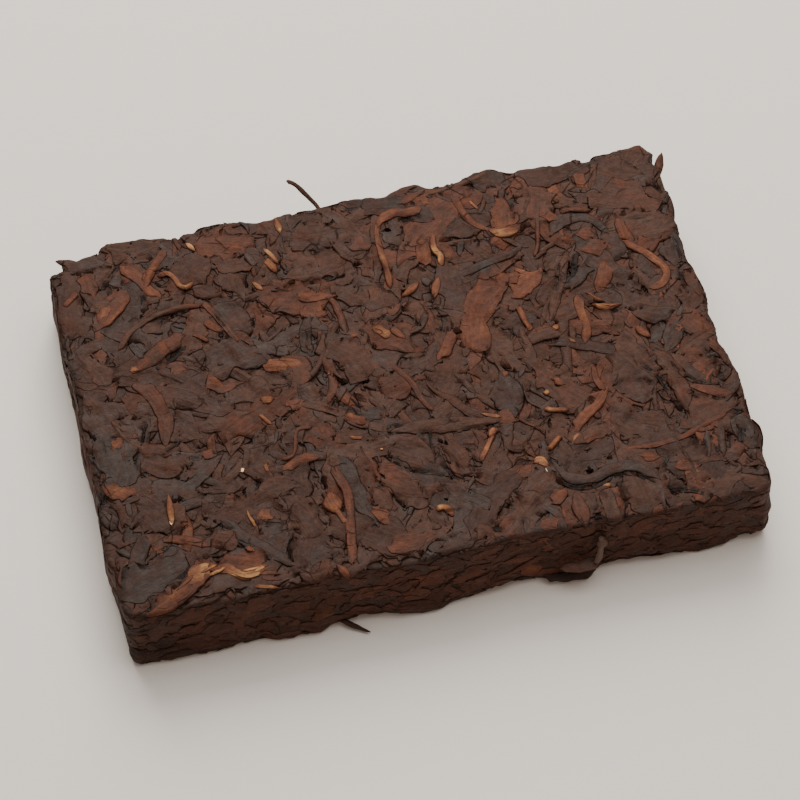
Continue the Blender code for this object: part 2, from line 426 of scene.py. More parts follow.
# Each kind: rows along the route, points across its upper face, points across its underside.
MAKE = {
    "broad": (26, 16, 2),
    "flake": (14, 10, 2),
    "chip": (8, 6, 2),
    "strip": (28, 8, 2),
    "shred": (9, 5, 2),
    "stalk": (22, 6, 4),
    "tip": (11, 6, 3),
    "crumb": (4, 4, 2),
}

# Sizes in mm that each kind is drawn from: length, half width and thickness.
SIZES = {
    "broad": ((12, 24), (2.8, 5.4), (0.14, 0.26)),
    "flake": ((6, 13), (1.6, 3.6), (0.13, 0.22)),
    "chip": ((4, 10), (1.2, 3.0), (0.2, 0.4)),
    "strip": ((9, 26), (0.8, 2.0), (0.28, 0.60)),
    "shred": ((2.5, 8), (0.4, 1.1), (0.18, 0.36)),
    "stalk": ((8, 22), (0.40, 0.85), (0.55, 1.0)),
    "tip": ((3.5, 7), (0.5, 1.0), (0.5, 0.9)),
    "crumb": ((0.7, 2.0), (0.22, 0.55), (0.2, 0.4)),
}


class Style(NamedTuple):
    """How a kind of leaf is torn, how it settles and how its face is shaped. Heights are in mm."""

    ends: tuple  # shortest and longest share of the length that an end narrows over
    ragged: float  # how uneven its edge is, as a share of its width
    slant: float  # how far its ends slant, in half widths
    stiff: int  # how many times the bed that it lies on is smoothed
    limp: float  # how closely it follows the bed as it was: 0 not at all, 1 wholly
    wrinkle: tuple  # height and wavelength of its lengthwise wrinkles
    buckle: tuple = ()  # height and wavelength of its buckles, if it has any
    fold: float = 0.0  # height or depth of a lengthwise fold
    curl: float = 0.0  # how far its edges lift here and there
    tilt: float = 0.0  # how far it leans to one side, in half widths
    rim: float = 0.15  # thickness at its edge, as a share of that in the middle
    fullness: float = 3.0  # how square its cross section is
    proud: float = 0.0  # how far it stands out after it is pressed


STYLES = {
    "broad": Style((0.04, 0.40), 0.40, 0.9, 2, 0.60, (0.14, 1.4), (0.24, 3.6), 0.16, 0.18, 0.04, 0.06),
    "flake": Style((0.05, 0.45), 0.40, 0.9, 1, 0.60, (0.10, 1.1), (0.16, 2.8), 0.10, 0.14, 0.06, 0.06),
    "chip": Style((0.08, 0.45), 0.35, 0.9, 1, 0.55, (0.12, 1.1), (0.10, 2.8), 0.10, 0.20, 0.08),
    "strip": Style((0.03, 0.45), 0.34, 0.8, 2, 0.45, (0.15, 0.8), (0.14, 3.0), 0.16, 0.10, 0.06, 0.10, 2.2),
    "shred": Style((0.06, 0.45), 0.32, 0.6, 1, 0.45, (0.06, 0.9), (0.05, 3.0), 0.05, 0.10, 0.10, 0.15, 2.2),
    "stalk": Style((0.02, 0.06), 0.30, 0.5, 2, 0.15, (0.14, 0.5), rim=0.35, fullness=2.2, proud=0.10),
    "tip": Style((0.35, 0.50), 0.20, 0.3, 1, 0.20, (0.09, 0.5), rim=0.3, fullness=2.2, proud=0.12),
    "crumb": Style((0.15, 0.45), 0.30, 0.6, 1, 0.30, (0.04, 0.5), curl=0.03, tilt=0.12, fullness=2.0),
}


# Shares of a leaf's length that its slanted ends, its taper and its faded ends take up.
SLIP_SHARE, TAPER_SHARE, FADE_SHARE = 0.15, 0.12, 0.18

# Width of a fold's ridge, as a share of the leaf's half width.
FOLD_WIDTH = 0.16


def section(kind):
    """Places across a leaf, -1 to 1, round its ring: the upper face, then back along the underside."""
    _, across, under = MAKE[kind]
    even = np.linspace(-1, 1, across)
    upper = 0.6 * even + 0.4 * np.sin(even * math.pi / 2)
    lower = np.linspace(1, -1, under + 2)[1:-1]
    return np.concatenate([upper, lower]), across


def lay(pile, rng, kind, route, half, thick, tone, shade=0.0):
    """Lays one leaf on the pile and returns its ring points over the chart, with its grain and look.

    The route is widened to both sides by ragged half widths. The upper face's height is the height
    of what lies below, plus a crown thick * (rim + (1 - rim)(1 - |s|^fullness)), plus a buckle,
    lengthwise wrinkles and a fold, and a curl |s|^4 that lifts its edges here and there. The tone of
    a bright leaf falls back towards its ends, and towards its edges as painted shade where a rolled
    leaf turns away from the light.
    """
    style = STYLES[kind]
    places, across = section(kind)
    steps = np.linalg.norm(np.diff(route, axis=0), axis=1)
    run = np.concatenate([[0], np.cumsum(steps)])
    ahead = np.gradient(route, axis=0)
    ahead /= np.linalg.norm(ahead, axis=1)[:, None]
    aside = np.stack([-ahead[:, 1], ahead[:, 0]], axis=1)
    shortest, longest = style.ends
    ends = shortest + (longest - shortest) * rng.uniform(0, 1, 2) ** 2
    left = torn_width(rng, run, half, ends, style.ragged)
    right = torn_width(rng, run, half, ends, style.ragged)
    s = places[None, :]
    width = np.where(s > 0, left[:, None], right[:, None])
    t = (run / run[-1])[:, None]
    slant = rng.uniform(-1, 1, 2) * style.slant
    slip = slant[0] * np.exp(-t / SLIP_SHARE) + slant[1] * np.exp((t - 1) / SLIP_SHARE)
    slip = s * half * slip
    a = route[:, 0:1] + aside[:, 0:1] * s * width + ahead[:, 0:1] * slip
    b = route[:, 1:2] + aside[:, 1:2] * s * width + ahead[:, 1:2] * slip

    below = pile.read(a[:, :across], b[:, :across])
    bed = spread(highest_near(spread(below, 1)), style.stiff)
    bed = style.limp * below + (1 - style.limp) * bed
    s_up = s[:, :across]
    off_x, off_y = rng.uniform(0, 50, 2) * MM
    length_run = run[:, None] + 0 * s_up
    cross_run = s_up * width[:, :across]
    taper = np.clip(np.minimum(t, 1 - t) / TAPER_SHARE, 0.25, 1)
    crown = thick * taper * (style.rim + (1 - style.rim) * (1 - np.abs(s_up) ** style.fullness))
    depth, wavelength = style.wrinkle
    shape = depth * noise(length_run * 0.2 + off_x, cross_run + off_y, wavelength * MM, WRINKLES)
    if style.buckle:
        depth, wavelength = style.buckle
        buckle = noise(length_run + off_y, cross_run + off_x, wavelength * MM, BUCKLES)
        shape = shape + depth * buckle
    if style.fold:
        fold_at = rng.uniform(-0.5, 0.5) + 0.3 * noise(length_run + off_x, 0 * s_up, 8 * MM, FOLDS)
        ridge = np.exp(-(((s_up - fold_at) / FOLD_WIDTH) ** 2))
        shape = shape + style.fold * rng.choice([-1, 1]) * ridge
    lifted = noise(length_run + off_y, np.sign(s_up) * 9 * MM + off_x, 6 * MM, CURLS)
    lifted = np.maximum(lifted, 0)
    shape = shape + style.curl * np.abs(s_up) ** 4 * lifted
    upper = bed + crown + MM * shape * taper + style.tilt * rng.uniform(-1, 1) * s_up * half
    under_at = s[:, across:]
    under = np.stack([np.interp(under_at[0], s_up[0], row) for row in upper - crown])
    under = under - 0.3 * thick * taper
    height = np.concatenate([upper, under], axis=1)
    bed_all = np.concatenate([bed, under], axis=1)
    pile.raise_to(finer(a[:, :across]).ravel(), finer(b[:, :across]).ravel(), finer(upper).ravel())
    grain = np.stack([np.broadcast_to(run[:, None] + off_x, a.shape), s * width + off_y], axis=-1)
    mottle = 0.12 * noise(grain[..., 0], 1.5 * grain[..., 1], 3 * MM, MOTTLES)
    # Bright leaves fall back towards their ends, and towards their edges as painted shade on a rolled leaf.
    fade = 0.5 * np.clip(1 - np.minimum(t, 1 - t) / FADE_SHARE, 0, 1) + 0.4 * np.abs(s) ** 4
    mottle = mottle - max(tone - 0.45, 0) * fade
    return {
        "kind": kind,
        "chart": np.stack([a, b, height], axis=-1),
        "rise": style.proud * MM * np.clip((height - bed_all) / thick, 0, 1),
        "grain": grain,
        "tone": np.minimum(tone + mottle, max(tone, 0.93)),
        "shade": np.full(a.shape, shade),
    }


def random_tone(rng, kind):
    """A place on the palette: most leaves are dark, some are reddish and a few are orange brown."""
    if kind == "tip":
        return rng.uniform(0.66, 0.80)
    if kind == "stalk":
        return rng.uniform(0.20, 0.50)
    ranges = ((0.02, 0.26), (0.22, 0.46), (0.44, 0.58), (0.58, 0.72))
    low, high = ranges[rng.choice(len(ranges), p=[0.47, 0.42, 0.09, 0.02])]
    return rng.uniform(low, high) * (1.0 if kind in ("broad", "flake", "strip") else 0.7)


def scattered(rng, count, low, high):
    """Places that cover a field evenly: one in each cell of a grid, jittered, in random order."""
    low, high = np.array(low), np.array(high)
    ratio = (high - low)[0] / (high - low)[1]
    rows = max(1, round(math.sqrt(count / ratio)))
    columns = math.ceil(count / rows)
    i, j = np.meshgrid(np.arange(columns), np.arange(rows), indexing="ij")
    corners = np.stack([i, j], axis=-1).reshape(-1, 2)
    places = (corners + rng.uniform(0, 1, (columns * rows, 2))) / (columns, rows)
    return low + rng.permutation(places)[:count] * (high - low)


def random_leaf(pile, rng, kind, place, heading, field, scale):
    """A leaf of a kind, of random size, laid near a place and moved so that it stays on its field."""
    length, half, thick = (rng.uniform(*span) * MM * scale for span in SIZES[kind])
    bend = rng.normal(0, 0.5)
    route = wandering_route(rng, place, heading, length, bend, 0.20, MAKE[kind][0])
    low, high = field
    over = np.maximum(route + half - high, 0).max(axis=0)
    over = over - np.maximum(low - route + half, 0).max(axis=0)
    route = route - over
    return lay(pile, rng, kind, route, half, thick, random_tone(rng, kind), rng.uniform(-1, 1))


def pressed(values, proud, deep):
    """Heights eased towards a ceiling and a floor: y = k(1 - exp(-x/k)) on either side of 0."""
    return np.where(
        values > 0,
        proud * (1 - np.exp(-np.maximum(values, 0) / proud)),
        -deep * (1 - np.exp(np.minimum(values, 0) / deep)),
    )


def chart_grid(pile):
    """Places on the chart of all the pile's cells."""
    grid = np.meshgrid(*(np.arange(n) for n in pile.shape), indexing="ij")
    return pile.low[0] + grid[0] * pile.cell[0], pile.low[1] + grid[1] * pile.cell[1]


def gather(leaves):
    """Stacks the arrays of like leaves."""
    keys = ("chart", "rise", "grain", "tone", "shade")
    return {key: np.stack([leaf[key] for leaf in leaves]) for key in keys}


class Press:
    """Levels a pile: takes away its broad swells and eases what is left to a ceiling and a floor.

    core holds the heights of the pile's lowest leaves, which become the relief of the core.
    """

    def __init__(self, pile, core, radius, sink, proud, deep, cracks=None):
        self.pile = pile
        self.swell = pile.blurred(pile.heights, radius)
        self.sink = sink
        self.proud = proud
        self.deep = deep
        self.cracks = np.zeros(pile.shape) if cracks is None else cracks
        grid = chart_grid(pile)
        surface = self.level(*grid, pile.heights)
        self.around = pile.blurred(surface, 1.2 * MM)
        self.core = self.level(*grid, core)

    def level(self, a, b, height):
        """A height less the swells under it, eased, and less the depth of the cracks there."""
        above = height - self.pile.read(a, b, self.swell) - self.sink
        eased = pressed(above, self.proud, self.deep)
        return eased - self.pile.read(a, b, self.cracks)

    def pit(self, a, b, lift):
        """How far a place lies below what is around it."""
        return self.pile.read(a, b, self.around) - lift

    def finish(self, leaves):
        """The pressed leaves, gathered by kind."""
        layers = {}
        for kind in MAKE:
            alike = [leaf for leaf in leaves if leaf["kind"] == kind]
            if alike:
                layer = gather(alike)
                a, b, height = np.moveaxis(layer["chart"], -1, 0)
                lift = self.level(a, b, height)
                layer["pit"] = self.pit(a, b, lift)
                layer["chart"] = np.stack([a, b, lift + layer["rise"]], axis=-1)
                layers[kind] = layer
        return layers


def any_way(rng):
    """A random heading."""
    return rng.uniform(0, math.pi)


def nearly_level(rng):
    """A random heading near the chart's first axis."""
    return rng.normal(0, 0.4)


def fill_pile(pile, rng, counts, area, heading, field=None, first=None, stretch=None, scale=None):
    """Lays random leaves of each kind on a pile, scattered over an area and mixed in order.

    They stay on the field, which is the area if none is given. The ranks of a kind start at its
    first, or else at 0, and run on for its stretch, or else for 1. The lowest rank is laid first,
    and a kind's scale changes its size.
    """
    first, stretch, scale = first or {}, stretch or {}, scale or {}
    queue = []
    for kind, count in counts.items():
        for place in scattered(rng, count, *area):
            rank = first.get(kind, 0) + stretch.get(kind, 1) * rng.uniform()
            queue.append((rank, kind, place))
    queue.sort(key=lambda entry: entry[0])
    return [
        random_leaf(pile, rng, kind, place, heading(rng), field or area, scale.get(kind, 1.0))
        for _, kind, place in queue
    ]


# ---- The top ----

# Leaves and stalks that stand out on the top: the kind, tone, width and route in mm of each.
# Those that come later lie on top of those before them.
MARKED_LEAVES = {
    # broad, quiet leaves
    "back left brown": ("broad", 0.34, 8.0, ((-60, 50), (-54, 48), (-48, 49))),
    "left corner plum": ("broad", 0.22, 6.0, ((-72, 48.6), (-68, 47.6), (-62, 47.2))),
    "left salmon block": ("flake", 0.54, 4.6, ((-66.6, 44), (-66, 37.5))),
    "left grey field": ("broad", 0.12, 7.0, ((-66, 29), (-60, 26), (-56, 24))),
    "middle grey field": ("broad", 0.14, 7.0, ((-37, 30), (-35.6, 25), (-33, 19))),
    "back red leaf": ("broad", 0.58, 8.6, ((-39.5, 47.5), (-34, 45.5), (-28, 43))),
    "back brown leaf": ("broad", 0.32, 8.0, ((-17, 44), (-10, 42), (-4, 43))),
    "long brown leaf": ("broad", 0.30, 8.0, ((-20, 33), (-13, 33), (-6, 34.5))),
    "green brown leaf": ("broad", 0.26, 8.0, ((-8, 27), (-3, 23), (1, 18))),
    "quiet middle leaf": ("broad", 0.34, 8.4, ((-14, 12), (-10, 7), (-8, 0))),
    "left quiet leaf": ("broad", 0.40, 8.0, ((-73, 22), (-70, 15), (-68, 9))),
    "left oval": ("broad", 0.36, 9.0, ((-67, -22), (-64, -26), (-62, -30.5))),
    "left mauve": ("broad", 0.20, 4.6, ((-51.5, -22), (-47, -21.5), (-43, -22))),
    "left pale brown": ("broad", 0.42, 6.0, ((-64, -10), (-59, -13), (-53, -12))),
    "low left plate": ("broad", 0.40, 7.0, ((-50, -27.5), (-45, -28), (-41, -27))),
    "low left oval": ("broad", 0.36, 5.4, ((-40, -25.4), (-35, -24.2), (-30.4, -25.6))),
    "low left smooth leaf": ("broad", 0.30, 8.0, ((-34, -29), (-31, -34), (-29.4, -39.5))),
    "middle smooth leaf": ("broad", 0.34, 8.2, ((-7, -19.5), (-2.4, -22.4), (2, -25.6))),
    "low middle leaf": ("broad", 0.33, 8.0, ((-10.6, -30.5), (-5, -33), (0, -34))),
    "low right middle leaf": ("broad", 0.30, 6.4, ((5.4, -19.5), (7, -25), (9, -29.6))),
    "grey lobed leaf": ("broad", 0.10, 6.4, ((2.6, -34), (5.4, -37.6), (9, -41))),
    "olive brown leaf": ("broad", 0.36, 7.0, ((12.5, -22), (14.6, -28), (13.6, -34))),
    "right plum leaf": ("broad", 0.28, 8.6, ((44, -22), (50, -27), (57, -31))),
    "right smooth leaf": ("broad", 0.37, 6.8, ((61.5, -28), (66, -26.8), (72, -26.2))),
    "right pink brown leaf": ("broad", 0.44, 7.4, ((63, -10), (66.6, -13.6), (70, -18))),
    "right dark leaf": ("broad", 0.18, 8.0, ((48, -10), (51, -15), (55, -20))),
    "low right smooth leaf": ("broad", 0.24, 10.0, ((45.6, -39.5), (46, -44.6), (46.4, -50.6))),
    "low right corner leaf": ("broad", 0.36, 8.4, ((55.5, -46.4), (61, -46.6), (68, -47.4))),
    "far right grey leaf": ("broad", 0.08, 5.0, ((72.4, -30), (73, -35), (73.4, -40))),
    "right dark field": ("broad", 0.16, 8.0, ((55, 10), (60, 5), (66, 3))),
    "right large leaf": ("broad", 0.38, 9.4, ((58, 39), (63, 36.6), (70, 34.6))),
    "back right leaf": ("broad", 0.26, 7.4, ((60.6, 48), (63.4, 45), (69, 42))),
    "back dark leaf": ("broad", 0.12, 7.4, ((28, 49.6), (33, 50), (38, 48))),
    "back plum leaf": ("broad", 0.24, 6.6, ((41, 48), (47, 47), (53, 47.6))),
    "long grey brown strip": ("strip", 0.26, 3.6, ((-6.6, -15.6), (5, -16.8), (19.4, -18.6))),
    "dark front leaf": ("broad", 0.06, 9.6, ((-75, -44), (-68, -41.4), (-58.6, -37.4))),
    "long grey curve": (
        "strip", 0.08, 3.4,
        ((-48.6, -29.6), (-45, -35.6), (-40.6, -40.6), (-35.6, -44.6)),
    ),
    "front curl": ("strip", 0.40, 3.6, ((-35, -46.4), (-31, -50), (-27.6, -46.8))),
    "slate arch": ("strip", 0.02, 3.6, ((43.6, 30), (47, 33), (52, 33.4), (55.6, 31), (57.4, 27))),
    "arch dome": ("flake", 0.46, 4.4, ((50, 28.6), (54.4, 27.4))),
    "arch dome beside": ("flake", 0.52, 3.0, ((46.6, 28.4), (49.6, 27.4))),
    "under the arch": ("flake", 0.42, 5.6, ((50.6, 24.4), (56, 22.8))),
    "loop's inside": ("flake", 0.04, 3.4, ((62.6, 14.8), (65.4, 12.4))),
    # strips and flakes
    "grey plate": ("flake", 0.0, 3.4, ((-61.8, 41.6), (-58.2, 38.8))),
    "grey oval": ("flake", 0.04, 3.2, ((-48, 43.4), (-45.2, 42.4))),
    "fat orange strip": ("strip", 0.64, 4.6, ((-66.6, 28.4), (-62.4, 32.6), (-57.6, 37))),
    "its bright end": ("flake", 0.74, 2.6, ((-65.2, 30.4), (-62.8, 33.6))),
    "crossed strip": ("strip", 0.69, 3.2, ((-57.8, 44.6), (-54.6, 39.6), (-51, 33.6))),
    "crossing strip": ("strip", 0.64, 2.5, ((-53.6, 38), (-50, 42.8), (-46.8, 47))),
    "left salmon strip": ("strip", 0.53, 4.2, ((-61, 14.4), (-56, 16.8), (-52, 19), (-47.6, 20.8))),
    "left golden stub": ("shred", 0.80, 1.6, ((-61.4, 14.8), (-59.4, 14.6))),
    "left blue black": ("flake", 0.0, 2.8, ((-59, 22), (-57.6, 18))),
    "left brown patch": ("flake", 0.56, 4.0, ((-52.4, 13.4), (-48.8, 11.6))),
    "left red curl": ("strip", 0.50, 3.8, ((-60, 11), (-57.4, 5), (-56, -1), (-57.4, -8))),
    "olive gold stub": ("shred", 0.74, 2.4, ((-41.8, 24.4), (-38.4, 20.4))),
    "salmon leaf": ("flake", 0.72, 3.2, ((-30.6, 9.2), (-21.8, 7.2))),
    "golden triangle": ("shred", 0.80, 2.0, ((-24.2, 38.4), (-22.2, 34.4))),
    "golden bits": ("shred", 0.78, 1.6, ((-28.4, 33.4), (-26.4, 30))),
    "orange patch": ("flake", 0.66, 3.4, ((-19, 27), (-15, 25.6), (-11, 24.8))),
    "red brown field": ("flake", 0.58, 4.2, ((-19, 22), (-13.4, 20.6))),
    "round red button": ("flake", 0.60, 4.0, ((-3.2, 38), (0.4, 37.2))),
    "grey ridge": ("strip", 0.48, 1.6, ((10.8, 47), (14, 48.2), (17.4, 50))),
    "strand's leaf": ("flake", 0.62, 3.2, ((13.4, 35), (12.6, 28.6))),
    "tan patch": ("flake", 0.78, 2.6, ((-3, 13.8), (-0.4, 10))),
    "patch beside": ("shred", 0.62, 2.2, ((0.2, 12.4), (3.2, 8.6))),
    "large ribbed leaf": ("broad", 0.61, 8.0, ((17.4, 1.6), (19, 7), (21.8, 13), (28.6, 19.6))),
    "ribbed leaf's side": ("strip", 0.66, 3.0, ((9.6, 1), (12, 4.4), (14.4, 8.4))),
    "red oval": ("flake", 0.66, 6.2, ((33.6, 42.4), (34, 38), (33.2, 33.8))),
    "orange soft spot": ("flake", 0.70, 2.8, ((38.4, 45.4), (41, 46.2))),
    "back orange leaf": ("flake", 0.72, 3.0, ((55, 46), (55.2, 41))),
    "orange block": ("flake", 0.66, 3.4, ((43, 37.4), (46, 33.6))),
    "back right ridge": ("strip", 0.36, 1.6, ((56.8, 40.6), (58.2, 44), (59.6, 48))),
    "orange fan": ("strip", 0.70, 3.8, ((54.8, 18.2), (52.8, 14.4), (50.6, 11))),
    "salmon column": ("strip", 0.66, 2.2, ((45.8, 11), (45, 7), (45.2, 2), (43.6, -2.4))),
    "above the loop": ("strip", 0.58, 3.2, ((60.8, 31), (61, 27), (61.4, 24))),
    "right pink edge": ("strip", 0.44, 2.6, ((72.4, 12), (73, 8.6), (73.6, 5))),
    "left orange patch": ("flake", 0.70, 4.8, ((-73.4, -15.2), (-67.2, -19.2))),
    "round orange spot": ("flake", 0.82, 3.0, ((-69.6, -5.2), (-66.6, -4.4))),
    "golden ring": ("flake", 0.74, 2.8, ((-50, -11.6), (-47.2, -12.4))),
    "small orange spot": ("shred", 0.78, 2.0, ((-33.6, -0.4), (-30.4, -0.8))),
    "red patch": ("flake", 0.58, 3.4, ((-27.8, -3.4), (-24, -3.2))),
    "orange arc": ("strip", 0.70, 2.6, ((-32.4, -20.6), (-29, -18.6), (-23.6, -18.8))),
    "low orange patch": ("flake", 0.58, 5.0, ((-52, -34.4), (-46.4, -36.6))),
    "pink spot": ("strip", 0.68, 2.4, ((-15.6, -8.8), (-13.4, -10.4), (-11, -12))),
    "slate leaf": ("strip", 0.0, 4.8, ((-19.6, -21), (-17.6, -30), (-15.6, -38.6))),
    "red corner": ("flake", 0.64, 3.2, ((-15, -34.6), (-12.2, -39))),
    "olive oval": ("flake", 0.46, 4.2, ((-13.2, -30), (-10.8, -36.8))),
    "front orange brown": ("broad", 0.56, 5.0, ((-13.6, -45.4), (-9, -46.2), (-4.4, -45.6))),
    "front grey lobe": ("flake", 0.12, 4.0, ((-2.6, -49), (4, -48.6))),
    "front brown lobe": ("flake", 0.36, 5.0, ((6.2, -47), (9.4, -49.4))),
    "front tan lobe": ("flake", 0.50, 4.2, ((11, -49), (14.4, -46.6))),
    "front orange field": ("flake", 0.64, 3.6, ((20.6, -48.4), (25.4, -48))),
    "front salmon": ("flake", 0.64, 3.4, ((25, -42.6), (28.2, -40))),
    "front strip a": ("strip", 0.40, 3.4, ((30.6, -41.4), (30.8, -51.4))),
    "front strip b": ("strip", 0.30, 3.6, ((37.4, -42.6), (37.6, -51.6))),
    "grey lobe": ("broad", 0.14, 9.4, ((28.6, -32), (33, -35.4), (38.6, -36.4))),
    "pointed brown leaf": ("strip", 0.40, 4.4, ((59, -8), (61.6, -15), (62, -25.6))),
    "its neighbour": ("strip", 0.62, 2.8, ((64.6, -19.4), (68, -21.6), (72.4, -24.4))),
    "right edge curl": ("strip", 0.46, 2.4, ((71.8, -9), (74, -12.4), (75.4, -17))),
    "low right orange": ("flake", 0.62, 3.0, ((54.6, -40.2), (60, -41))),
    "low right salmon": ("flake", 0.68, 2.6, ((47.6, -35.8), (51.4, -36.6))),
    "front pink chip": ("flake", 0.72, 2.0, ((56.4, -49), (58.6, -50))),
    "grey strip under the bud": (
        "strip", 0.08, 2.8,
        ((27.6, -32.4), (30, -37), (34.6, -39), (40, -37.4), (45.6, -38), (50.8, -42.6)),
    ),
    "thin olive line": ("strip", 0.52, 1.3, ((44, -33), (52, -33.6), (58, -33), (64, -31), (70.4, -29))),
    "big tan leaf": (
        "strip", 0.73, 4.6,
        ((-70.5, -50.6), (-64.6, -48), (-60, -45.4), (-56.4, -42.4), (-53.6, -39.4)),
    ),
    "its bright top": ("flake", 0.92, 4.0, ((-60, -44.6), (-56.6, -42.4), (-52.6, -40.6))),
    "olive leaf": ("broad", 0.61, 7.0, ((-52, -40.2), (-47.6, -41.4), (-42, -43.2))),
    "gold edge": ("strip", 0.78, 2.6, ((-54.4, -41.4), (-50.8, -42.8), (-47, -45.2), (-41.6, -45.2))),
    "pale rim": ("shred", 0.92, 1.0, ((-50, -44.6), (-45.6, -46))),
    "pale line": ("shred", 0.90, 1.0, ((-45.4, -48.8), (-40, -50.4))),
    "gold fibre": ("shred", 0.91, 0.8, ((-56.4, -42.8), (-52, -41.2))),
    "gold fibre below it": ("shred", 0.86, 0.8, ((-54.8, -43.8), (-50.6, -42.4))),
    "frayed gold fibre": ("shred", 0.93, 1.0, ((-49.8, -44.2), (-46.4, -46), (-43, -45.8))),
    "frayed fibre above it": ("shred", 0.86, 0.9, ((-47.6, -44.2), (-44, -44.4), (-41, -44))),
    "frayed pale end": ("shred", 0.95, 0.7, ((-44.6, -45.2), (-42, -44.4))),
    "frayed tan end": ("shred", 0.60, 1.1, ((-43.6, -46), (-39, -46.8))),
    "frayed red end": ("shred", 0.52, 1.1, ((-43.4, -47.4), (-39, -48.4))),
    "pale knob above it": ("shred", 0.86, 1.2, ((-45.2, -38.4), (-43.4, -39.8))),
    "tan fibre": ("shred", 0.70, 1.1, ((-62.6, -46), (-58, -42.8))),
    "tan fibre below it": ("shred", 0.64, 1.1, ((-63, -49), (-58.4, -46.4))),
    "left brown strip": ("strip", 0.60, 2.4, ((-62.4, -31.8), (-57, -34), (-52.8, -35.8))),
    # stalks, buds and bright bits
    "golden curl": (
        "stalk", 0.82, 1.3,
        ((-50, 40), (-47.6, 39.8), (-46.2, 37.8), (-45.4, 35.7), (-43.6, 35), (-42.2, 36.2)),
    ),
    "golden bud": ("tip", 0.93, 1.3, ((-41.5, 47.6), (-39.8, 44.6))),
    "left edge stalk": ("stalk", 0.56, 1.5, ((-73, 36), (-69.5, 39.3))),
    "long arc": (
        "stalk", 0.47, 1.5,
        ((-63, 20.6), (-59.6, 24.8), (-54.6, 27.8), (-48, 29.4), (-41, 29.2)),
    ),
    "arc's twin": ("stalk", 0.48, 1.6, ((-41, 29.8), (-38.4, 24), (-35.4, 16.6))),
    "tan pin": ("stalk", 0.74, 1.1, ((-45, 21.2), (-42, 18.4))),
    "back golden oval": ("tip", 0.86, 1.7, ((-19.3, 49.8), (-18.9, 45))),
    "pink sliver": ("shred", 0.86, 1.1, ((-23.8, 42), (-21.2, 36.6))),
    "tall T stem": ("stalk", 0.78, 1.6, ((4.6, 42.6), (3.4, 39.6), (3.1, 35), (3.4, 30), (3.1, 23.4))),
    "T bar": ("strip", 0.66, 2.5, ((4, 41.4), (5.6, 43.6), (8.4, 44.6), (12, 44.3), (15.6, 44))),
    # A painted highlight: a pale shred along the T stem where light glints on its ridge.
    "T stem's painted highlight": ("shred", 0.92, 0.9, ((3, 37.6), (3.3, 33.6), (3.5, 29.6))),
    "golden strand": ("stalk", 0.86, 1.5, ((16.3, 36.2), (15.8, 32.6), (16.8, 30), (16.1, 27))),
    "golden strand foot": ("tip", 0.80, 2.2, ((14.6, 23.8), (12.3, 18.2))),
    "small orange leaf": ("tip", 0.76, 2.2, ((5.2, 20.8), (10, 23.4))),
    "hooked stalk": (
        "strip", 0.67, 2.0,
        ((24, 46.4), (24.6, 42.6), (25.8, 38.8), (27.8, 36), (31, 33.6)),
    ),
    "hook's bright foot": ("tip", 0.77, 2.8, ((29.6, 34.6), (32.6, 32.8), (37, 32.8))),
    "light sliver": ("shred", 0.86, 0.9, ((27.4, 44), (29, 40.8))),
    "brown stick": ("stalk", 0.68, 1.4, ((47.8, 35.8), (51, 35.6), (55, 34.7))),
    "right loop": (
        "stalk", 0.69, 2.1,
        ((60.2, 24), (63, 20.8), (65.6, 17.4), (67.6, 14), (67.2, 11.2), (65, 9.4), (62.4, 9.2)),
    ),
    "pale sliver": ("shred", 0.88, 1.0, ((-34.8, -4.2), (-32.4, -7.8))),
    "small pale speck": ("crumb", 0.86, 1.0, ((-17, 3.2), (-16, 3.8))),
    "left pale speck": ("crumb", 0.74, 1.6, ((-64.6, -3.8), (-63, -3.4))),
    "salmon stick": ("stalk", 0.70, 1.5, ((31.2, 11.6), (31.5, 7.4), (32.4, 4))),
    "salmon dot": ("crumb", 0.74, 2.0, ((37, 2.6), (39, 4))),
    "tan stick": ("tip", 0.80, 1.8, ((48, 8), (51, 6.6), (54.8, 6.2))),
    "tan bit": ("shred", 0.76, 1.4, ((33.2, 22.4), (35, 20.2))),
    "golden comma": ("tip", 0.76, 2.4, ((56.4, -0.6), (57.6, -2.6), (59, -4.4))),
    "pale dash": ("shred", 0.84, 1.0, ((40.2, -0.8), (41.6, -1.6))),
    "right red spot": ("crumb", 0.66, 2.4, ((65, -3.3), (67.2, -3.7))),
    "standing golden bud": ("tip", 0.84, 1.8, ((-59.3, -20.8), (-60.1, -29.2))),
    "its white tip": ("crumb", 1.2, 0.9, ((-60, -27.4), (-60.2, -29))),
    "white speck": ("crumb", 1.2, 1.5, ((-42.3, -18.5), (-41, -18.2))),
    "tan dash": ("shred", 0.82, 1.2, ((-36.3, -17.8), (-36, -20.2))),
    "pink hook": (
        "stalk", 0.60, 1.0,
        ((-23.6, -10.4), (-27.2, -10.6), (-28.2, -14), (-29.6, -17), (-32.4, -17.6)),
    ),
    "gold spot": ("flake", 0.72, 2.8, ((-40.6, -30.2), (-37.6, -31.4))),
    "pale curve": ("shred", 0.84, 0.8, ((-42.8, -28.4), (-42.6, -31), (-41.6, -33.6))),
    "pink tan spot": ("crumb", 0.78, 1.6, ((-45.2, -38.6), (-43.8, -39.8))),
    "golden spoon": ("tip", 0.76, 4.6, ((-24, -28.6), (-22.8, -34.4))),
    "spoon's tail": ("stalk", 0.72, 1.5, ((-23.2, -33.6), (-21.8, -37.6))),
    "tan bow": (
        "stalk", 0.57, 2.2,
        ((-21.6, -22), (-20, -28), (-20, -33), (-21.4, -40), (-22.8, -48.4)),
    ),
    "gold dash": ("shred", 0.84, 1.0, ((-15.8, -15), (-12.8, -15.7))),
    "middle pink speck": ("crumb", 0.97, 0.8, ((-9.9, -19.6), (-8.9, -20))),
    "pale sliver on the strip": ("shred", 0.84, 1.3, ((15.2, -15.8), (19.4, -18))),
    "middle tan stalk": ("stalk", 0.72, 1.4, ((17.6, -20.4), (14.8, -24.2), (11.8, -28.6))),
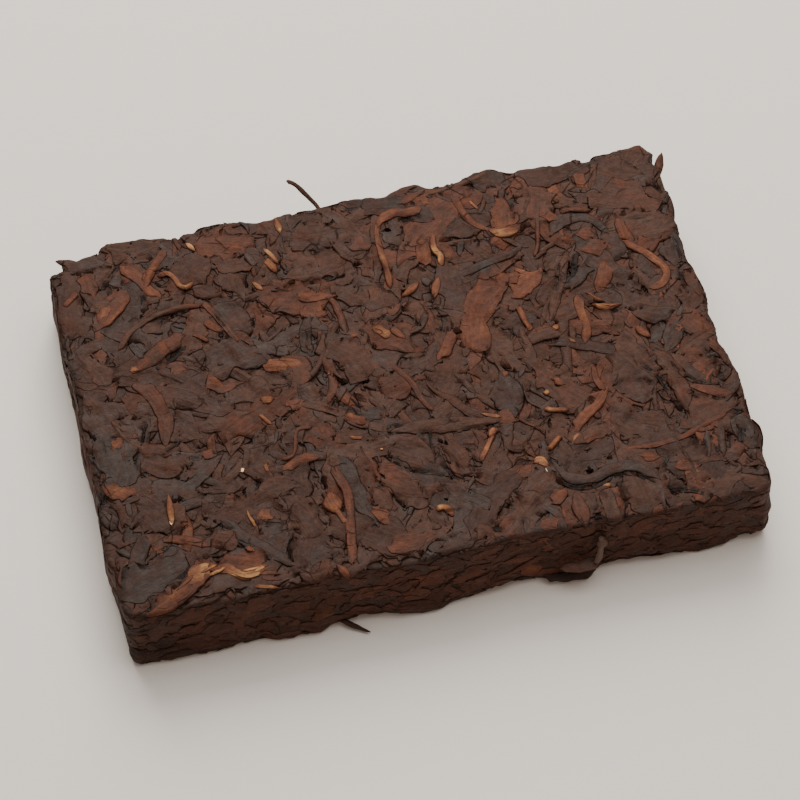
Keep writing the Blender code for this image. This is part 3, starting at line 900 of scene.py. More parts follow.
    "twig's knob": ("tip", 0.78, 2.0, ((15.2, -22.6), (17.2, -20.4))),
    "little golden curl": ("stalk", 0.84, 1.6, ((-1.2, -38.6), (0.8, -38.5), (2.4, -41))),
    "front orange tip": ("tip", 0.72, 2.0, ((-26.4, -47.6), (-24, -51.8))),
    "bright bud": ("tip", 0.85, 2.4, ((23.4, -31.8), (25, -31.4), (26.4, -33.6))),
    "its white fringe": ("crumb", 1.2, 1.0, ((25.8, -33.4), (26.2, -35.2))),
    "right red stalk": (
        "strip", 0.70, 2.6,
        ((45.8, -15.4), (42.6, -18.8), (38.6, -21.8), (34.8, -25.2)),
    ),
    "stick above it": ("stalk", 0.54, 1.5, ((43.8, -9), (43.4, -13), (44.2, -16.4))),
    "tan twig": ("stalk", 0.66, 1.5, ((27.6, -29), (31.4, -25.8))),
    "gold slip": ("stalk", 0.86, 1.2, ((29.8, -17.8), (31.2, -18.7), (35, -19.7))),
    "right orange spot": ("crumb", 0.74, 2.4, ((33.6, -10.8), (35.8, -12.4))),
    "small gold spot": ("crumb", 0.82, 1.6, ((30.6, -13.2), (32.2, -13.8))),
    "small gold fleck": ("crumb", 0.80, 1.6, ((23, -5.6), (23.6, -7.4))),
    "front tan chip": ("shred", 0.78, 1.4, ((36.6, -40.4), (39.2, -41.6))),
    "long grey ridge": ("strip", 0.24, 2.3, ((46.2, 23.6), (43.2, 17), (40.2, 11), (37.4, 5.4))),
    "plum flake by the tan twig": ("flake", 0.28, 3.0, ((33, -26.2), (36.4, -28.8))),
    "dark rolled strip": ("strip", 0.03, 2.6, ((68.2, -31), (67, -35), (66.2, -39.4))),
    "dark strip beside it": ("strip", 0.06, 2.0, ((64.6, -32.6), (63.6, -36), (62.8, -39.6))),
    "right corner's dark lump": ("flake", 0.0, 4.2, ((72, -29.4), (73.4, -33), (73.8, -37))),
}

# Cracks between leaves: how wide each is and its route, in mm.
CRACKS = (
    (1.5, ((-70, -49.6), (-64, -45.4), (-59.6, -41.6))),
    (1.2, ((-56, -40), (-53.6, -37.6))),
    (1.0, ((-60.4, -30.6), (-56.6, -29.6))),
    (1.2, ((-49.4, -31.2), (-47, -32.8))),
    (1.0, ((-52.4, -35.8), (-49.8, -37.6))),
    (1.0, ((-53.4, -21.8), (-50.6, -23.8))),
    (1.2, ((-52.4, -12.2), (-50.8, -13))),
    (0.8, ((-54, 2), (-53.4, -4), (-55, -8), (-58.6, -9.8))),
    (1.6, ((-74.6, -16.4), (-74.4, -19.6))),
    (0.8, ((-40, -24), (-37, -21.4), (-32, -21.2))),
    (0.7, ((-33.2, -33.6), (-32.6, -37.8))),
    (1.0, ((-36.4, -48.2), (-33, -46))),
    (1.5, ((-55.4, 14.2), (-51.4, 16), (-47.4, 18.6))),
    (1.0, ((-59.4, 13), (-56.4, 12.4))),
    (0.9, ((-66.4, 11), (-64, 16))),
    (1.6, ((-54.4, 35.2), (-54.8, 31.6))),
    (1.4, ((-58.4, 44.8), (-63.4, 39.2), (-61, 37.2))),
    (0.8, ((-69, 44.6), (-60, 44.8))),
    (0.9, ((-52.4, 26), (-49, 28), (-44.6, 28.6))),
    (0.7, ((-39.2, 26.4), (-37.4, 21.6))),
    (0.8, ((-37.8, 19.4), (-36, 16.4))),
    (1.0, ((-30.8, 7), (-25.6, 4.4))),
    (0.7, ((-13.4, -4.6), (-10, -9.6))),
    (1.2, ((-21.4, 29), (-16, 29.5), (-9.8, 29.5), (-8.4, 31.2))),
    (0.9, ((6, 15.6), (7, 12.6), (8.6, 11))),
    (0.9, ((10.8, 45.9), (15.2, 46.1))),
    (0.9, ((9.6, 42.4), (15, 42.3))),
    (0.8, ((37.4, 41.4), (35.6, 35.4))),
    (1.8, ((48.4, 23.2), (47, 20), (45.8, 16.6))),
    (0.8, ((43.6, 21), (41, 13.6))),
    (0.8, ((65, 16.2), (66.6, 12.2))),
    (1.5, ((66.4, 46.4), (67.6, 44.4))),
    (1.2, ((71.8, 39), (73.4, 35.6))),
    (0.9, ((72.4, 23), (72.4, 17), (70.8, 11), (71.2, 5.6))),
    (0.9, ((48.6, 6), (53.6, 5))),
    (0.9, ((24, 7.4), (27.4, 3))),
    (0.7, ((2, 0.5), (2.2, -3.6))),
    (0.8, ((-7.2, -15), (-3, -14.6))),
    (0.7, ((-6.6, -15), (-6.4, -18.4))),
    (0.8, ((2.7, -17), (2, -21), (2.3, -25), (3.8, -28.6), (5.4, -33))),
    (0.6, ((4, -22.6), (6.6, -28), (7.2, -33))),
    (0.8, ((-7.2, -22.4), (-6.2, -25.2), (-3.6, -27.4), (3, -30.2))),
    (0.7, ((-3.4, -31), (-2.4, -35), (-1.8, -37.4))),
    (0.7, ((10, -24), (10.4, -29.4))),
    (0.8, ((9.6, -18.6), (19, -20.2))),
    (0.8, ((-13.4, -27), (-14.6, -31), (-16, -36.4))),
    (1.3, ((-7.4, -43), (-4, -41.9), (0.6, -43.4))),
    (0.8, ((-3, -46.6), (4, -47))),
    (1.2, ((10, -45), (11.6, -47.6))),
    (0.7, ((18.2, -38), (18.4, -43.4))),
    (0.8, ((17.6, -45), (17, -49.4))),
    (1.2, ((-18.4, -41), (-14.6, -38.8))),
    (0.8, ((34.6, -9.4), (41.2, -11.2))),
    (1.2, ((41.2, -17.6), (40.6, -19))),
    (0.9, ((45.4, -16.6), (47.2, -20.4))),
    (1.0, ((54.6, -11), (57, -14), (58.7, -19), (60.6, -25.6))),
    (1.0, ((61.6, -12), (63, -15.6), (66, -19), (71, -20.6))),
    (1.0, ((62.8, -20.8), (66, -23.5), (71.4, -25))),
    (0.9, ((70.4, -10.4), (72, -16), (72.2, -19.6))),
    (1.4, ((26, -33), (27.6, -37), (31, -40), (35.4, -41), (40, -39.4))),
    (1.0, ((40, -39.2), (45.4, -40), (49.4, -44))),
    (1.0, ((33.4, -43), (34.4, -50.4))),
    (1.2, ((40.9, -41), (41.4, -46), (40, -51))),
    (0.8, ((35.4, -41), (37, -44.6))),
    (1.8, ((34, -48.4), (34.2, -53))),
    (1.2, ((54.2, -36.8), (51.4, -41), (52, -45), (57, -47.4), (60, -49.6))),
    (1.5, ((66, -32.8), (65.4, -38.6))),
    (0.9, ((63, -35), (62.4, -39))),
    (1.2, ((69.6, -33), (68, -38))),
    (2.0, ((72.6, -33.6), (71.4, -37))),
    (1.2, ((70.8, -30), (73.6, -29))),
    (1.1, ((72.4, -41), (72.6, -45.6))),
)
CRACK_DEPTH = 0.9 * MM

# A thin dark leaf lines each of these cracks as painted shadow, for the shade that falls into them:
# its half width as a share of the crack's width, its thickness and its shade.
SHADOW_LINING_WIDTH = 0.36
SHADOW_LINING_THICK = 0.06 * MM
SHADOW_LINING_SHADE = -3.0


def crack_table(pile, cracks):
    """How deep cracks cut into a pile: depth * exp(-(distance / half width)^2), less at their ends."""
    table = np.zeros(pile.shape)
    a, b = chart_grid(pile)
    for width, route in cracks:
        points = smooth_route(route, 24 * len(route))
        low = np.floor(pile.cells(*(points.min(axis=0) - 1.5 * width))).astype(int).clip(0)
        high = np.ceil(pile.cells(*(points.max(axis=0) + 1.5 * width))).astype(int) + 1
        part = (slice(low[0], high[0]), slice(low[1], high[1]))
        gaps = np.stack([a[part], b[part]], axis=-1)[..., None, :] - points
        distance = np.linalg.norm(gaps, axis=-1)
        along = np.sin(np.linspace(0.03, 0.97, len(points)) * math.pi) ** 0.6
        cut = CRACK_DEPTH * along * np.exp(-((distance / (width / 2)) ** 2))
        table[part] = np.maximum(table[part], cut.max(axis=-1))
    return table


def random_cracks(rng, count, field):
    """Short cracks of random place, length, heading, bend and width."""
    cracks = []
    for place in scattered(rng, count, *field):
        length = rng.uniform(2, 6) * MM
        heading, bend = rng.uniform(0, math.pi), rng.normal(0, 0.8)
        route = wandering_route(rng, place, heading, length, bend, 0.3, 5)
        cracks.append((rng.uniform(0.5, 0.9) * MM, route))
    return cracks


def edge_darkening_and_painted_corner_shade(a, b):
    """How much darker the leaves are within 6 mm of the top's edge, and round its front left corner as
    painted shade.
    """
    gap = np.minimum(HALF[0] - np.abs(a - CENTRE[0]), HALF[1] - np.abs(b - CENTRE[1]))
    edge = np.clip(1 - gap / (6 * MM), 0, 1)
    corner = np.exp(-(((a / MM + 66) / 34) ** 2) - ((b / MM + 30) / 36) ** 2)
    return 1.1 * edge + 0.7 * corner


def warmth(a, b):
    """How much redder the dark leaves are round one place on the top, and greyer round another."""
    redder = np.exp(-(((a / MM - 34) / 36) ** 2) - ((b / MM - 6) / 28) ** 2)
    greyer = np.exp(-(((a / MM + 66) / 24) ** 2) - ((b / MM + 12) / 42) ** 2)
    return 0.12 * redder - 0.05 * greyer


@lru_cache
def top_layers():
    """All leaves of the top, laid in order and then pressed: the layers by kind, and the press."""
    settings = bpy.context.scene.tea_brick_leaves
    rng = np.random.default_rng(settings.seed)
    low, high = CENTRE - HALF - 0.6 * MM, CENTRE + HALF + 0.6 * MM
    field = (low, high)
    pile = Pile(low - 3 * MM, high + 3 * MM, 0.30 * MM)

    fill_pile(pile, rng, {"broad": 240, "strip": 200}, field, any_way)
    core = pile.heights.copy()
    kinds = ("broad", "flake", "strip", "shred", "stalk", "tip", "crumb")
    counts = {kind: getattr(settings, kind + "_count") for kind in kinds}
    laid = fill_pile(pile, rng, counts, field, any_way, first={"broad": 0.25, "crumb": 0.1})
    for kind, tone, width, route in MARKED_LEAVES.values():
        points = smooth_route(np.array(route) * MM, MAKE[kind][0])
        thick = np.mean(SIZES[kind][2]) * MM
        laid.append(lay(pile, rng, kind, points, width / 2 * MM, thick, tone, rng.uniform(-0.2, 0.2)))
    # Painted shadow: a thin dark leaf lines each crack where shade falls into it.
    for width, route in CRACKS:
        points = smooth_route(np.array(route) * MM, MAKE["stalk"][0])
        half = SHADOW_LINING_WIDTH * width * MM
        laid.append(lay(pile, rng, "stalk", points, half, SHADOW_LINING_THICK, 0.0, SHADOW_LINING_SHADE))
    cracks = [(width * MM, np.array(route) * MM) for width, route in CRACKS]
    cracks = cracks + random_cracks(rng, 50, field)
    table = crack_table(pile, cracks)
    radius = settings.press_radius
    press = Press(pile, core, radius, sink=0.0, proud=0.35 * MM, deep=1.5 * MM, cracks=table)
    for leaf in laid:
        a, b = leaf["chart"][..., 0], leaf["chart"][..., 1]
        leaf["tone"] = leaf["tone"] + warmth(a, b) * (leaf["tone"] < 0.6)
        # Darker near the top's edge, and painted shade round the front left corner.
        leaf["shade"] = leaf["shade"] - edge_darkening_and_painted_corner_shade(a, b)
    return press.finish(laid), press


# ---- The sides and the underside ----


@lru_cache
def side_layers():
    """Torn leaves and shreds on the four sides, lying mostly along the girth, then pressed."""
    settings = bpy.context.scene.tea_brick_leaves
    rng = np.random.default_rng(settings.seed + 1)
    pile = Pile((0.0, -2 * MM), (GIRTH, TOP + 2 * MM), 0.25 * MM, around=True)
    low, high = 0.3 * MM, TOP - 0.5 * MM
    area = ((0, low), (GIRTH, high))
    beyond = 100 * MM
    field = (np.array([-beyond, low]), np.array([GIRTH + beyond, high]))
    small = dict.fromkeys(MAKE, 0.42)

    counts = {"broad": 420, "strip": 420, "shred": 300}
    fill_pile(pile, rng, counts, area, nearly_level, field, scale=small)
    core = pile.heights.copy()
    counts = {"flake": 270, "strip": 90, "chip": 380, "shred": 300, "stalk": 14, "crumb": 220}
    scale = {**small, "flake": 0.8, "strip": 0.6, "stalk": 0.5}
    stretch = {"flake": 0.7}
    laid = fill_pile(pile, rng, counts, area, nearly_level, field, stretch=stretch, scale=scale)
    press = Press(pile, core, 4.0 * MM, sink=-0.02 * MM, proud=0.16 * MM, deep=0.8 * MM)
    return press.finish(laid), press


@lru_cache
def under_layers():
    """Leaves, chips, shreds and stalks on the underside, pressed flatter than the top."""
    settings = bpy.context.scene.tea_brick_leaves
    rng = np.random.default_rng(settings.seed + 2)
    low, high = CENTRE - HALF, CENTRE + HALF
    field = (low, high)
    pile = Pile(low - 4 * MM, high + 4 * MM, 0.35 * MM)

    fill_pile(pile, rng, {"broad": 240, "strip": 160}, field, any_way)
    core = pile.heights.copy()
    counts = {"broad": 50, "chip": 380, "shred": 120, "stalk": 12}
    laid = fill_pile(pile, rng, counts, field, any_way)
    press = Press(pile, core, 4.5 * MM, sink=-0.1 * MM, proud=0.10 * MM, deep=1.2 * MM)
    return press.finish(laid), press


# ---- Meshes ----


def new_piece(name, corners, faces, material, grain, look):
    """A mesh object from arrays: corners, and faces as a list of (count, sides) index arrays.

    Each corner has its grain, which becomes a UV map, and its look: tone, shade and pit.
    """
    mesh = bpy.data.meshes.new(name)
    sides = np.concatenate([np.full(len(group), group.shape[1]) for group in faces])
    index = np.concatenate([group.ravel() for group in faces])
    mesh.vertices.add(len(corners))
    mesh.vertices.foreach_set("co", corners.astype(np.float32).ravel())
    mesh.loops.add(len(index))
    mesh.loops.foreach_set("vertex_index", index.astype(np.int32))
    mesh.polygons.add(len(sides))
    starts = np.concatenate([[0], np.cumsum(sides)[:-1]])
    mesh.polygons.foreach_set("loop_start", starts.astype(np.int32))
    layer = mesh.uv_layers.new(name="grain")
    layer.uv.foreach_set("vector", grain[index].astype(np.float32).ravel())
    attribute = mesh.attributes.new("look", "FLOAT_VECTOR", "POINT")
    attribute.data.foreach_set("vector", look.astype(np.float32).ravel())
    mesh.update(calc_edges=True)
    mesh.validate()
    mesh.shade_smooth()
    mesh.materials.append(material)
    piece = bpy.data.objects.new(name, mesh)
    bpy.context.scene.collection.objects.link(piece)
    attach(piece, "root")
    return piece


def tube_faces(count, rows, ring, mirrored=False):
    """Faces of tubes whose corners are numbered by tube, row and ring, then two ends a tube."""
    tube = np.arange(count)[:, None, None] * rows * ring
    row = np.arange(rows - 1)[None, :, None] * ring
    here = np.arange(ring)[None, None, :]
    after = (here + 1) % ring
    near, far = tube + row, tube + row + ring
    walls = np.stack([near + here, far + here, far + after, near + after], axis=-1).reshape(-1, 4)
    tips = count * rows * ring + 2 * np.arange(count)[:, None]
    first, last = tube[:, 0], tube[:, 0] + (rows - 1) * ring
    one, two = here[0], after[0]
    starts = np.stack(np.broadcast_arrays(tips, first + one, first + two), axis=-1).reshape(-1, 3)
    ends = np.stack(np.broadcast_arrays(tips + 1, last + two, last + one), axis=-1).reshape(-1, 3)
    groups = [walls, starts, ends]
    return [group[:, ::-1] for group in groups] if mirrored else groups


def build_leaves(name, layer, place, material, mirrored=False):
    """One piece out of all leaves of a kind, placed in space. Each end closes on its ring's middle."""
    a, b, lift = np.moveaxis(layer["chart"], -1, 0)
    count, rows, ring = a.shape
    corners = place(a, b, lift)
    ends = corners[:, [0, -1]].mean(axis=2)
    look = np.stack([layer["tone"], layer["shade"], layer["pit"] / MM], axis=-1)
    grain = layer["grain"]

    def joined(values, width):
        """One row for each corner: those of the rings, then the mean of each tube's end rings."""
        tips = values[:, [0, -1]].mean(axis=2)
        return np.concatenate([values.reshape(-1, width), tips.reshape(-1, width)])

    corners = np.concatenate([corners.reshape(-1, 3), ends.reshape(-1, 3)])
    faces = tube_faces(count, rows, ring, mirrored)
    return new_piece(name, corners, faces, material, joined(grain, 2), joined(look, 3))


# ---- Loose pieces ----


def along(route, up):
    """Chart of a loose piece: a runs along a route in space, b to its left, and lift away from it."""
    run = np.concatenate([[0], np.cumsum(np.linalg.norm(np.diff(route, axis=0), axis=1))])
    ahead = np.gradient(route, axis=0)
    ahead /= np.linalg.norm(ahead, axis=1)[:, None]
    aside = np.cross(up, ahead)
    aside /= np.linalg.norm(aside, axis=1)[:, None]
    outward = np.cross(ahead, aside)

    def place(a, b, lift):
        """Route + b * aside + lift * outward, each read at the run a."""

        def at(table):
            return np.stack([np.interp(a, run, table[:, k]) for k in range(3)], axis=-1)

        return at(route) + at(aside) * b[..., None] + at(outward) * lift[..., None]

    return place, run[-1]


def build_loose(name, kind, node_name, shares, width, thick, tone, shade, up, seed):
    """A leaf or stalk off the slab: its route is given in shares of its own solid's box.

    Its width and thickness are in mm, and its face looks up.
    """
    low, high = (np.array(corner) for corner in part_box(node_name))
    route = smooth_route(low + np.array(shares) * (high - low), 40)
    place, length = along(route, up)
    pile = Pile((-4 * MM, -8 * MM), (length + 4 * MM, 8 * MM), 0.3 * MM)
    straight = np.stack([np.linspace(0, length, MAKE[kind][0]), np.zeros(MAKE[kind][0])], axis=1)
    rng = np.random.default_rng(seed)
    layer = gather([lay(pile, rng, kind, straight, width / 2 * MM, thick * MM, tone, shade)])
    layer["chart"][..., 2] -= thick / 2 * MM
    layer["pit"] = np.zeros(layer["tone"].shape)
    return build_leaves(name, layer, place, leaf_material(name))


# ---- The core ----


def build_core(material):
    """The core is one closed block of cells under the leaves.

    Its top and underside are square grids squeezed into the outline. Their border is joined by
    rows round the sides. Each corner takes its lift from the relief of the pile on its chart.
    """
    columns, rows, belts = 190, 128, 26
    u, v = np.meshgrid(np.linspace(-1, 1, columns), np.linspace(-1, 1, rows), indexing="ij")
    x, y = u * HALF[0], v * HALF[1]
    girth, out, near_x, near_y = girth_at(x, y)
    away = np.maximum(out, 1e-9)
    ux, uy = (x - near_x) / away, (y - near_y) / away
    square = INSET / np.maximum(np.maximum(np.abs(ux), np.abs(uy)), 0.5)

    def plane(face, press):
        """Corners and pits of the core's top (face 1) or underside (face -1)."""
        rim = TOP_RIM if face > 0 else UNDER_RIM
        edge = TOP - rim if face > 0 else rim
        share = (reach_at(girth, np.full_like(girth, edge)) - rim) / square
        px = near_x + ux * out * share + CENTRE[0]
        py = near_y + uy * out * share + CENTRE[1]
        lift = press.pile.read(px, py, press.core) - CORE_SINK
        pit = press.pit(px, py, lift)
        if face < 0:
            lift = np.minimum(lift, 0)
        return fold_over(px, py, lift, face).reshape(-1, 3), pit.ravel()

    border = np.concatenate(
        [
            np.arange(columns - 1) * rows,
            (columns - 1) * rows + np.arange(rows - 1),
            np.arange(columns - 1, 0, -1) * rows + rows - 1,
            np.arange(rows - 1, 0, -1),
        ]
    )
    side_press = side_layers()[1]
    heights = np.linspace(TOP - TOP_RIM, UNDER_RIM, belts)
    belt_girth, belt_z = np.meshgrid(girth.ravel()[border], heights)
    belt_lift = side_press.pile.read(belt_girth, belt_z, side_press.core) - CORE_SINK
    belt_pit = side_press.pit(belt_girth, belt_z, belt_lift)
    top, top_pit = plane(1, top_layers()[1])
    under, under_pit = plane(-1, under_layers()[1])
    side = stand_on_side(belt_girth, belt_z, belt_lift).reshape(-1, 3)
    corners = np.concatenate([top, under, side])
    pits = np.concatenate([top_pit, under_pit, belt_pit.ravel()])

    i, j = np.meshgrid(np.arange(columns - 1), np.arange(rows - 1), indexing="ij")
    cell = (i * rows + j).ravel()
    cap = np.stack([cell, cell + rows, cell + rows + 1, cell + 1], axis=-1)
    belt_index = 2 * columns * rows + np.arange(belts * len(border)).reshape(belts, -1)
    loops = np.concatenate([border[None], belt_index, columns * rows + border[None]])
    after = np.roll(loops, -1, axis=1)
    walls = np.stack([loops[:-1], loops[1:], after[1:], after[:-1]], axis=-1).reshape(-1, 4)
    faces = [np.concatenate([cap, cap[:, ::-1] + columns * rows, walls])]
    x, y, z = corners.T
    patch = 0.5 + 0.5 * noise(x + z, y - z, 5 * MM, PATCHES)
    look = np.stack([0.05 + 0.35 * patch, 0 * pits, pits / MM], axis=-1)
    grain = corners[:, :2] + corners[:, 2:3]
    return new_piece("brick_core", corners, faces, material, grain, look)


# ---- Materials ----


def new_group(name, inputs, outputs):
    """A shader node group with sockets of the given names, kinds and defaults, and its two ends."""
    group = bpy.data.node_groups.new(name, "ShaderNodeTree")
    for label, kind, default in inputs:
        socket = group.interface.new_socket(label, in_out="INPUT", socket_type=kind)
        socket.default_value = default
    for label, kind in outputs:
        group.interface.new_socket(label, in_out="OUTPUT", socket_type=kind)
    return group, group.nodes.new("NodeGroupInput"), group.nodes.new("NodeGroupOutput")


def node(tree, kind, **settings):
    """A new node with the given settings."""
    made = tree.nodes.new(kind)
    for key, value in settings.items():
        setattr(made, key, value)
    return made


def math_node(tree, operation, first, second=0.0, third=0.0, clamp=False):
    """Arithmetic on numbers and sockets: numbers are set, and sockets are linked."""
    made = node(tree, "ShaderNodeMath", operation=operation, use_clamp=clamp)
    for socket, value in zip(made.inputs, (first, second, third)):
        if isinstance(value, (int, float)):
            socket.default_value = value
        else:
            tree.links.new(value, socket)
    return made.outputs[0]


def centred(tree, value, amount):
    """A noise value, which lies about 0.5, made to lie about 0 and multiplied."""
    return math_node(tree, "MULTIPLY", math_node(tree, "SUBTRACT", value, 0.5), amount)


def noise_node(tree, vector, scale, detail=3.0, roughness=0.55):
    """Noise from 0 to 1 over a vector."""
    made = node(tree, "ShaderNodeTexNoise")
    made.inputs["Scale"].default_value = scale
    made.inputs["Detail"].default_value = detail
    made.inputs["Roughness"].default_value = roughness
    tree.links.new(vector, made.inputs["Vector"])
    return made.outputs["Fac"]


def stretched(tree, vector, scale):
    """A vector with each of its parts multiplied by its own scale."""
    made = node(tree, "ShaderNodeMapping")
    made.inputs["Scale"].default_value = scale
    tree.links.new(vector, made.inputs["Vector"])
    return made.outputs["Vector"]


def multiplied(tree, first, second):
    """Two colours multiplied."""
    made = node(tree, "ShaderNodeMix", data_type="RGBA", blend_type="MULTIPLY")
    made.inputs[0].default_value = 1.0
    tree.links.new(first, made.inputs[6])
    tree.links.new(second, made.inputs[7])
    return made.outputs[2]


def crease_lines(tree, place):
    """Thin broken lines: the borders of wavy cells, kept only where a slow noise is high.

    A line is 1 - 18 * distance to the border, and is kept by 9 * (noise - 0.56), both from 0 to 1.
    """
    sharpness, kept_above, kept_gain = 18.0, 0.56, 9.0
    wave = node(tree, "ShaderNodeTexNoise")
    wave.inputs["Scale"].default_value = 240
    wave.inputs["Detail"].default_value = 1.0
    tree.links.new(place, wave.inputs["Vector"])
    offset = node(tree, "ShaderNodeVectorMath", operation="MULTIPLY_ADD")
    tree.links.new(wave.outputs["Color"], offset.inputs[0])
    offset.inputs[1].default_value = (5 * MM, 5 * MM, 5 * MM)
    tree.links.new(place, offset.inputs[2])
    cells = node(tree, "ShaderNodeTexVoronoi", feature="DISTANCE_TO_EDGE")
    cells.inputs["Scale"].default_value = 190
    tree.links.new(offset.outputs[0], cells.inputs["Vector"])
    away = math_node(tree, "MULTIPLY", cells.outputs["Distance"], sharpness)
    line = math_node(tree, "SUBTRACT", 1.0, away, clamp=True)
    kept = math_node(tree, "SUBTRACT", noise_node(tree, place, 130, 1.0), kept_above)
    kept = math_node(tree, "MULTIPLY", kept, kept_gain, clamp=True)
    return math_node(tree, "MULTIPLY", line, kept)


# How strongly the patterns of the leaf's skin act on its tone, lightness, roughness and height.
CLOUDY_TONE = 0.36
SHADE_STEP = 0.20
SPECK_LIGHT = 1.2
# The creases darken the colour as painted shade.
CREASE_PAINTED_SHADE = -0.45
DARKEST = 0.25
ROUGHNESS, MOTTLE_ROUGHNESS, TONE_ROUGHNESS = 0.33, 0.5, 0.10
RIB_HEIGHT, FIBRE_HEIGHT, SPECK_HEIGHT, MOTTLE_HEIGHT, CREASE_HEIGHT = 0.65, 0.2, 0.7, 1.4, -0.8


def leaf_skin():
    """Shared effect: the palette's colour for a leaf, mottled and streaked, with painted shade in pits
    and creases and painted light on ridges.

    The look attribute holds a place on the palette, a shade that lightens or darkens in steps, and
    how many mm the surface lies below what is around it. The shade carries each leaf's own lightness
    together with painted shade and painted light. The colour darkens by the depth below as painted
    shade, and lightens on ridges as painted light. Streaks and ribs follow the grain map.
    """
    colours = bpy.context.scene.tea_brick_colours
    group, given, result = new_group(
        "leaf_skin",
        [
            ("Mottle", "NodeSocketFloat", 0.25),
            ("Painted Pit Shade", "NodeSocketFloat", 0.27),
            ("Fibre", "NodeSocketFloat", 0.5),
        ],
        [("Color", "NodeSocketColor"), ("Roughness", "NodeSocketFloat"), ("Height", "NodeSocketFloat")],
    )
    look = node(group, "ShaderNodeAttribute", attribute_name="look")
    parts = node(group, "ShaderNodeSeparateXYZ")
    group.links.new(look.outputs["Vector"], parts.inputs[0])
    tone, shade, pit = parts.outputs
    place = node(group, "ShaderNodeTexCoord").outputs["Object"]
    grain = node(group, "ShaderNodeUVMap", uv_map="grain").outputs["UV"]
    cloudy = noise_node(group, place, 100, 2.0)
    mottle = noise_node(group, place, 330, 3.0, 0.6)
    speck = noise_node(group, place, 900, 3.0, 0.65)
    ribs = noise_node(group, stretched(group, grain, (160, 1150, 1)), 1.0, 2.0)
    fibre = noise_node(group, stretched(group, grain, (300, 3000, 1)), 1.0, 3.0)

    crease = crease_lines(group, place)
    brightest = math_node(group, "MAXIMUM", tone, 0.95)
    tone = math_node(group, "ADD", tone, centred(group, mottle, given.outputs["Mottle"]))
    tone = math_node(group, "ADD", tone, centred(group, cloudy, CLOUDY_TONE))
    tone = math_node(group, "MINIMUM", tone, brightest, clamp=True)
    ramp = node(group, "ShaderNodeValToRGB")
    group.links.new(tone, ramp.inputs[0])
    stops = [
        (0.00, colours.slate),
        (0.20, colours.chocolate),
        (0.42, colours.brown),
        (0.61, colours.red_brown),
        (0.76, colours.orange_brown),
        (0.87, colours.tan),
        (0.95, colours.golden),
        (1.00, colours.pale),
    ]
    while len(ramp.color_ramp.elements) < len(stops):
        ramp.color_ramp.elements.new(0.5)
    for element, (at, colour) in zip(ramp.color_ramp.elements, stops):
        element.position = at
        element.color = (*colour, 1.0)

    own = math_node(group, "MULTIPLY_ADD", shade, SHADE_STEP, 1.0)
    specked = math_node(group, "ADD", centred(group, speck, SPECK_LIGHT), 1.0)
    streaked = math_node(group, "ADD", centred(group, ribs, given.outputs["Fibre"]), 1.0)
    light = math_node(group, "MULTIPLY", math_node(group, "MULTIPLY", own, specked), streaked)
    # Painted shade in hollows and painted light on ridges, by how far the surface lies below its
    # surroundings.
    painted_pit_shade_and_ridge_light = math_node(group, "MULTIPLY", pit, given.outputs["Painted Pit Shade"])
    light = math_node(group, "MULTIPLY", light, math_node(group, "SUBTRACT", 1.0, painted_pit_shade_and_ridge_light))
    # Painted shade along the crease lines.
    creased = math_node(group, "MULTIPLY_ADD", crease, CREASE_PAINTED_SHADE, 1.0)
    light = math_node(group, "MULTIPLY", light, creased)
    light = math_node(group, "MAXIMUM", light, DARKEST)
    combine = node(group, "ShaderNodeCombineColor")
    for socket in combine.inputs:
        group.links.new(light, socket)
    colour = multiplied(group, ramp.outputs[0], combine.outputs[0])
    group.links.new(colour, result.inputs["Color"])
    rough = math_node(group, "MULTIPLY_ADD", mottle, MOTTLE_ROUGHNESS, ROUGHNESS)
    by_tone = math_node(group, "MULTIPLY", tone, TONE_ROUGHNESS)
    rough = math_node(group, "ADD", rough, by_tone, clamp=True)
    group.links.new(rough, result.inputs["Roughness"])
    height = math_node(group, "MULTIPLY", fibre, FIBRE_HEIGHT)
    for pattern, amount in (
        (ribs, RIB_HEIGHT),
        (speck, SPECK_HEIGHT),
        (mottle, MOTTLE_HEIGHT),
        (crease, CREASE_HEIGHT),
    ):
        height = math_node(group, "MULTIPLY_ADD", pattern, amount, height)
    group.links.new(height, result.inputs["Height"])
    return group


def leaf_material(name, mottle=0.34, fibre=0.75):
    """Dry leaf: the leaf skin on a shader with little gloss, with its height as a bump."""
    material = bpy.data.materials.new(name)
    material.use_nodes = True
    tree = material.node_tree
    shader = tree.nodes["Principled BSDF"]
    group = bpy.data.node_groups.get("leaf_skin") or leaf_skin()
    skin = node(tree, "ShaderNodeGroup", node_tree=group)
    skin.inputs["Mottle"].default_value = mottle
    skin.inputs["Fibre"].default_value = fibre
    raised = node(tree, "ShaderNodeBump")
    raised.inputs["Distance"].default_value = 0.30 * MM
    shader.inputs["Specular IOR Level"].default_value = 0.12
    tree.links.new(skin.outputs["Color"], shader.inputs["Base Color"])
    tree.links.new(skin.outputs["Roughness"], shader.inputs["Roughness"])
    tree.links.new(skin.outputs["Height"], raised.inputs["Height"])
    tree.links.new(raised.outputs["Normal"], shader.inputs["Normal"])
    return material


# ---- Settings ----


def colour_setting(name, description, default):
    """A colour that can be changed in the sidebar."""
    return FloatVectorProperty(
        name=name, description=description, default=default, subtype="COLOR", min=0, max=1
    )


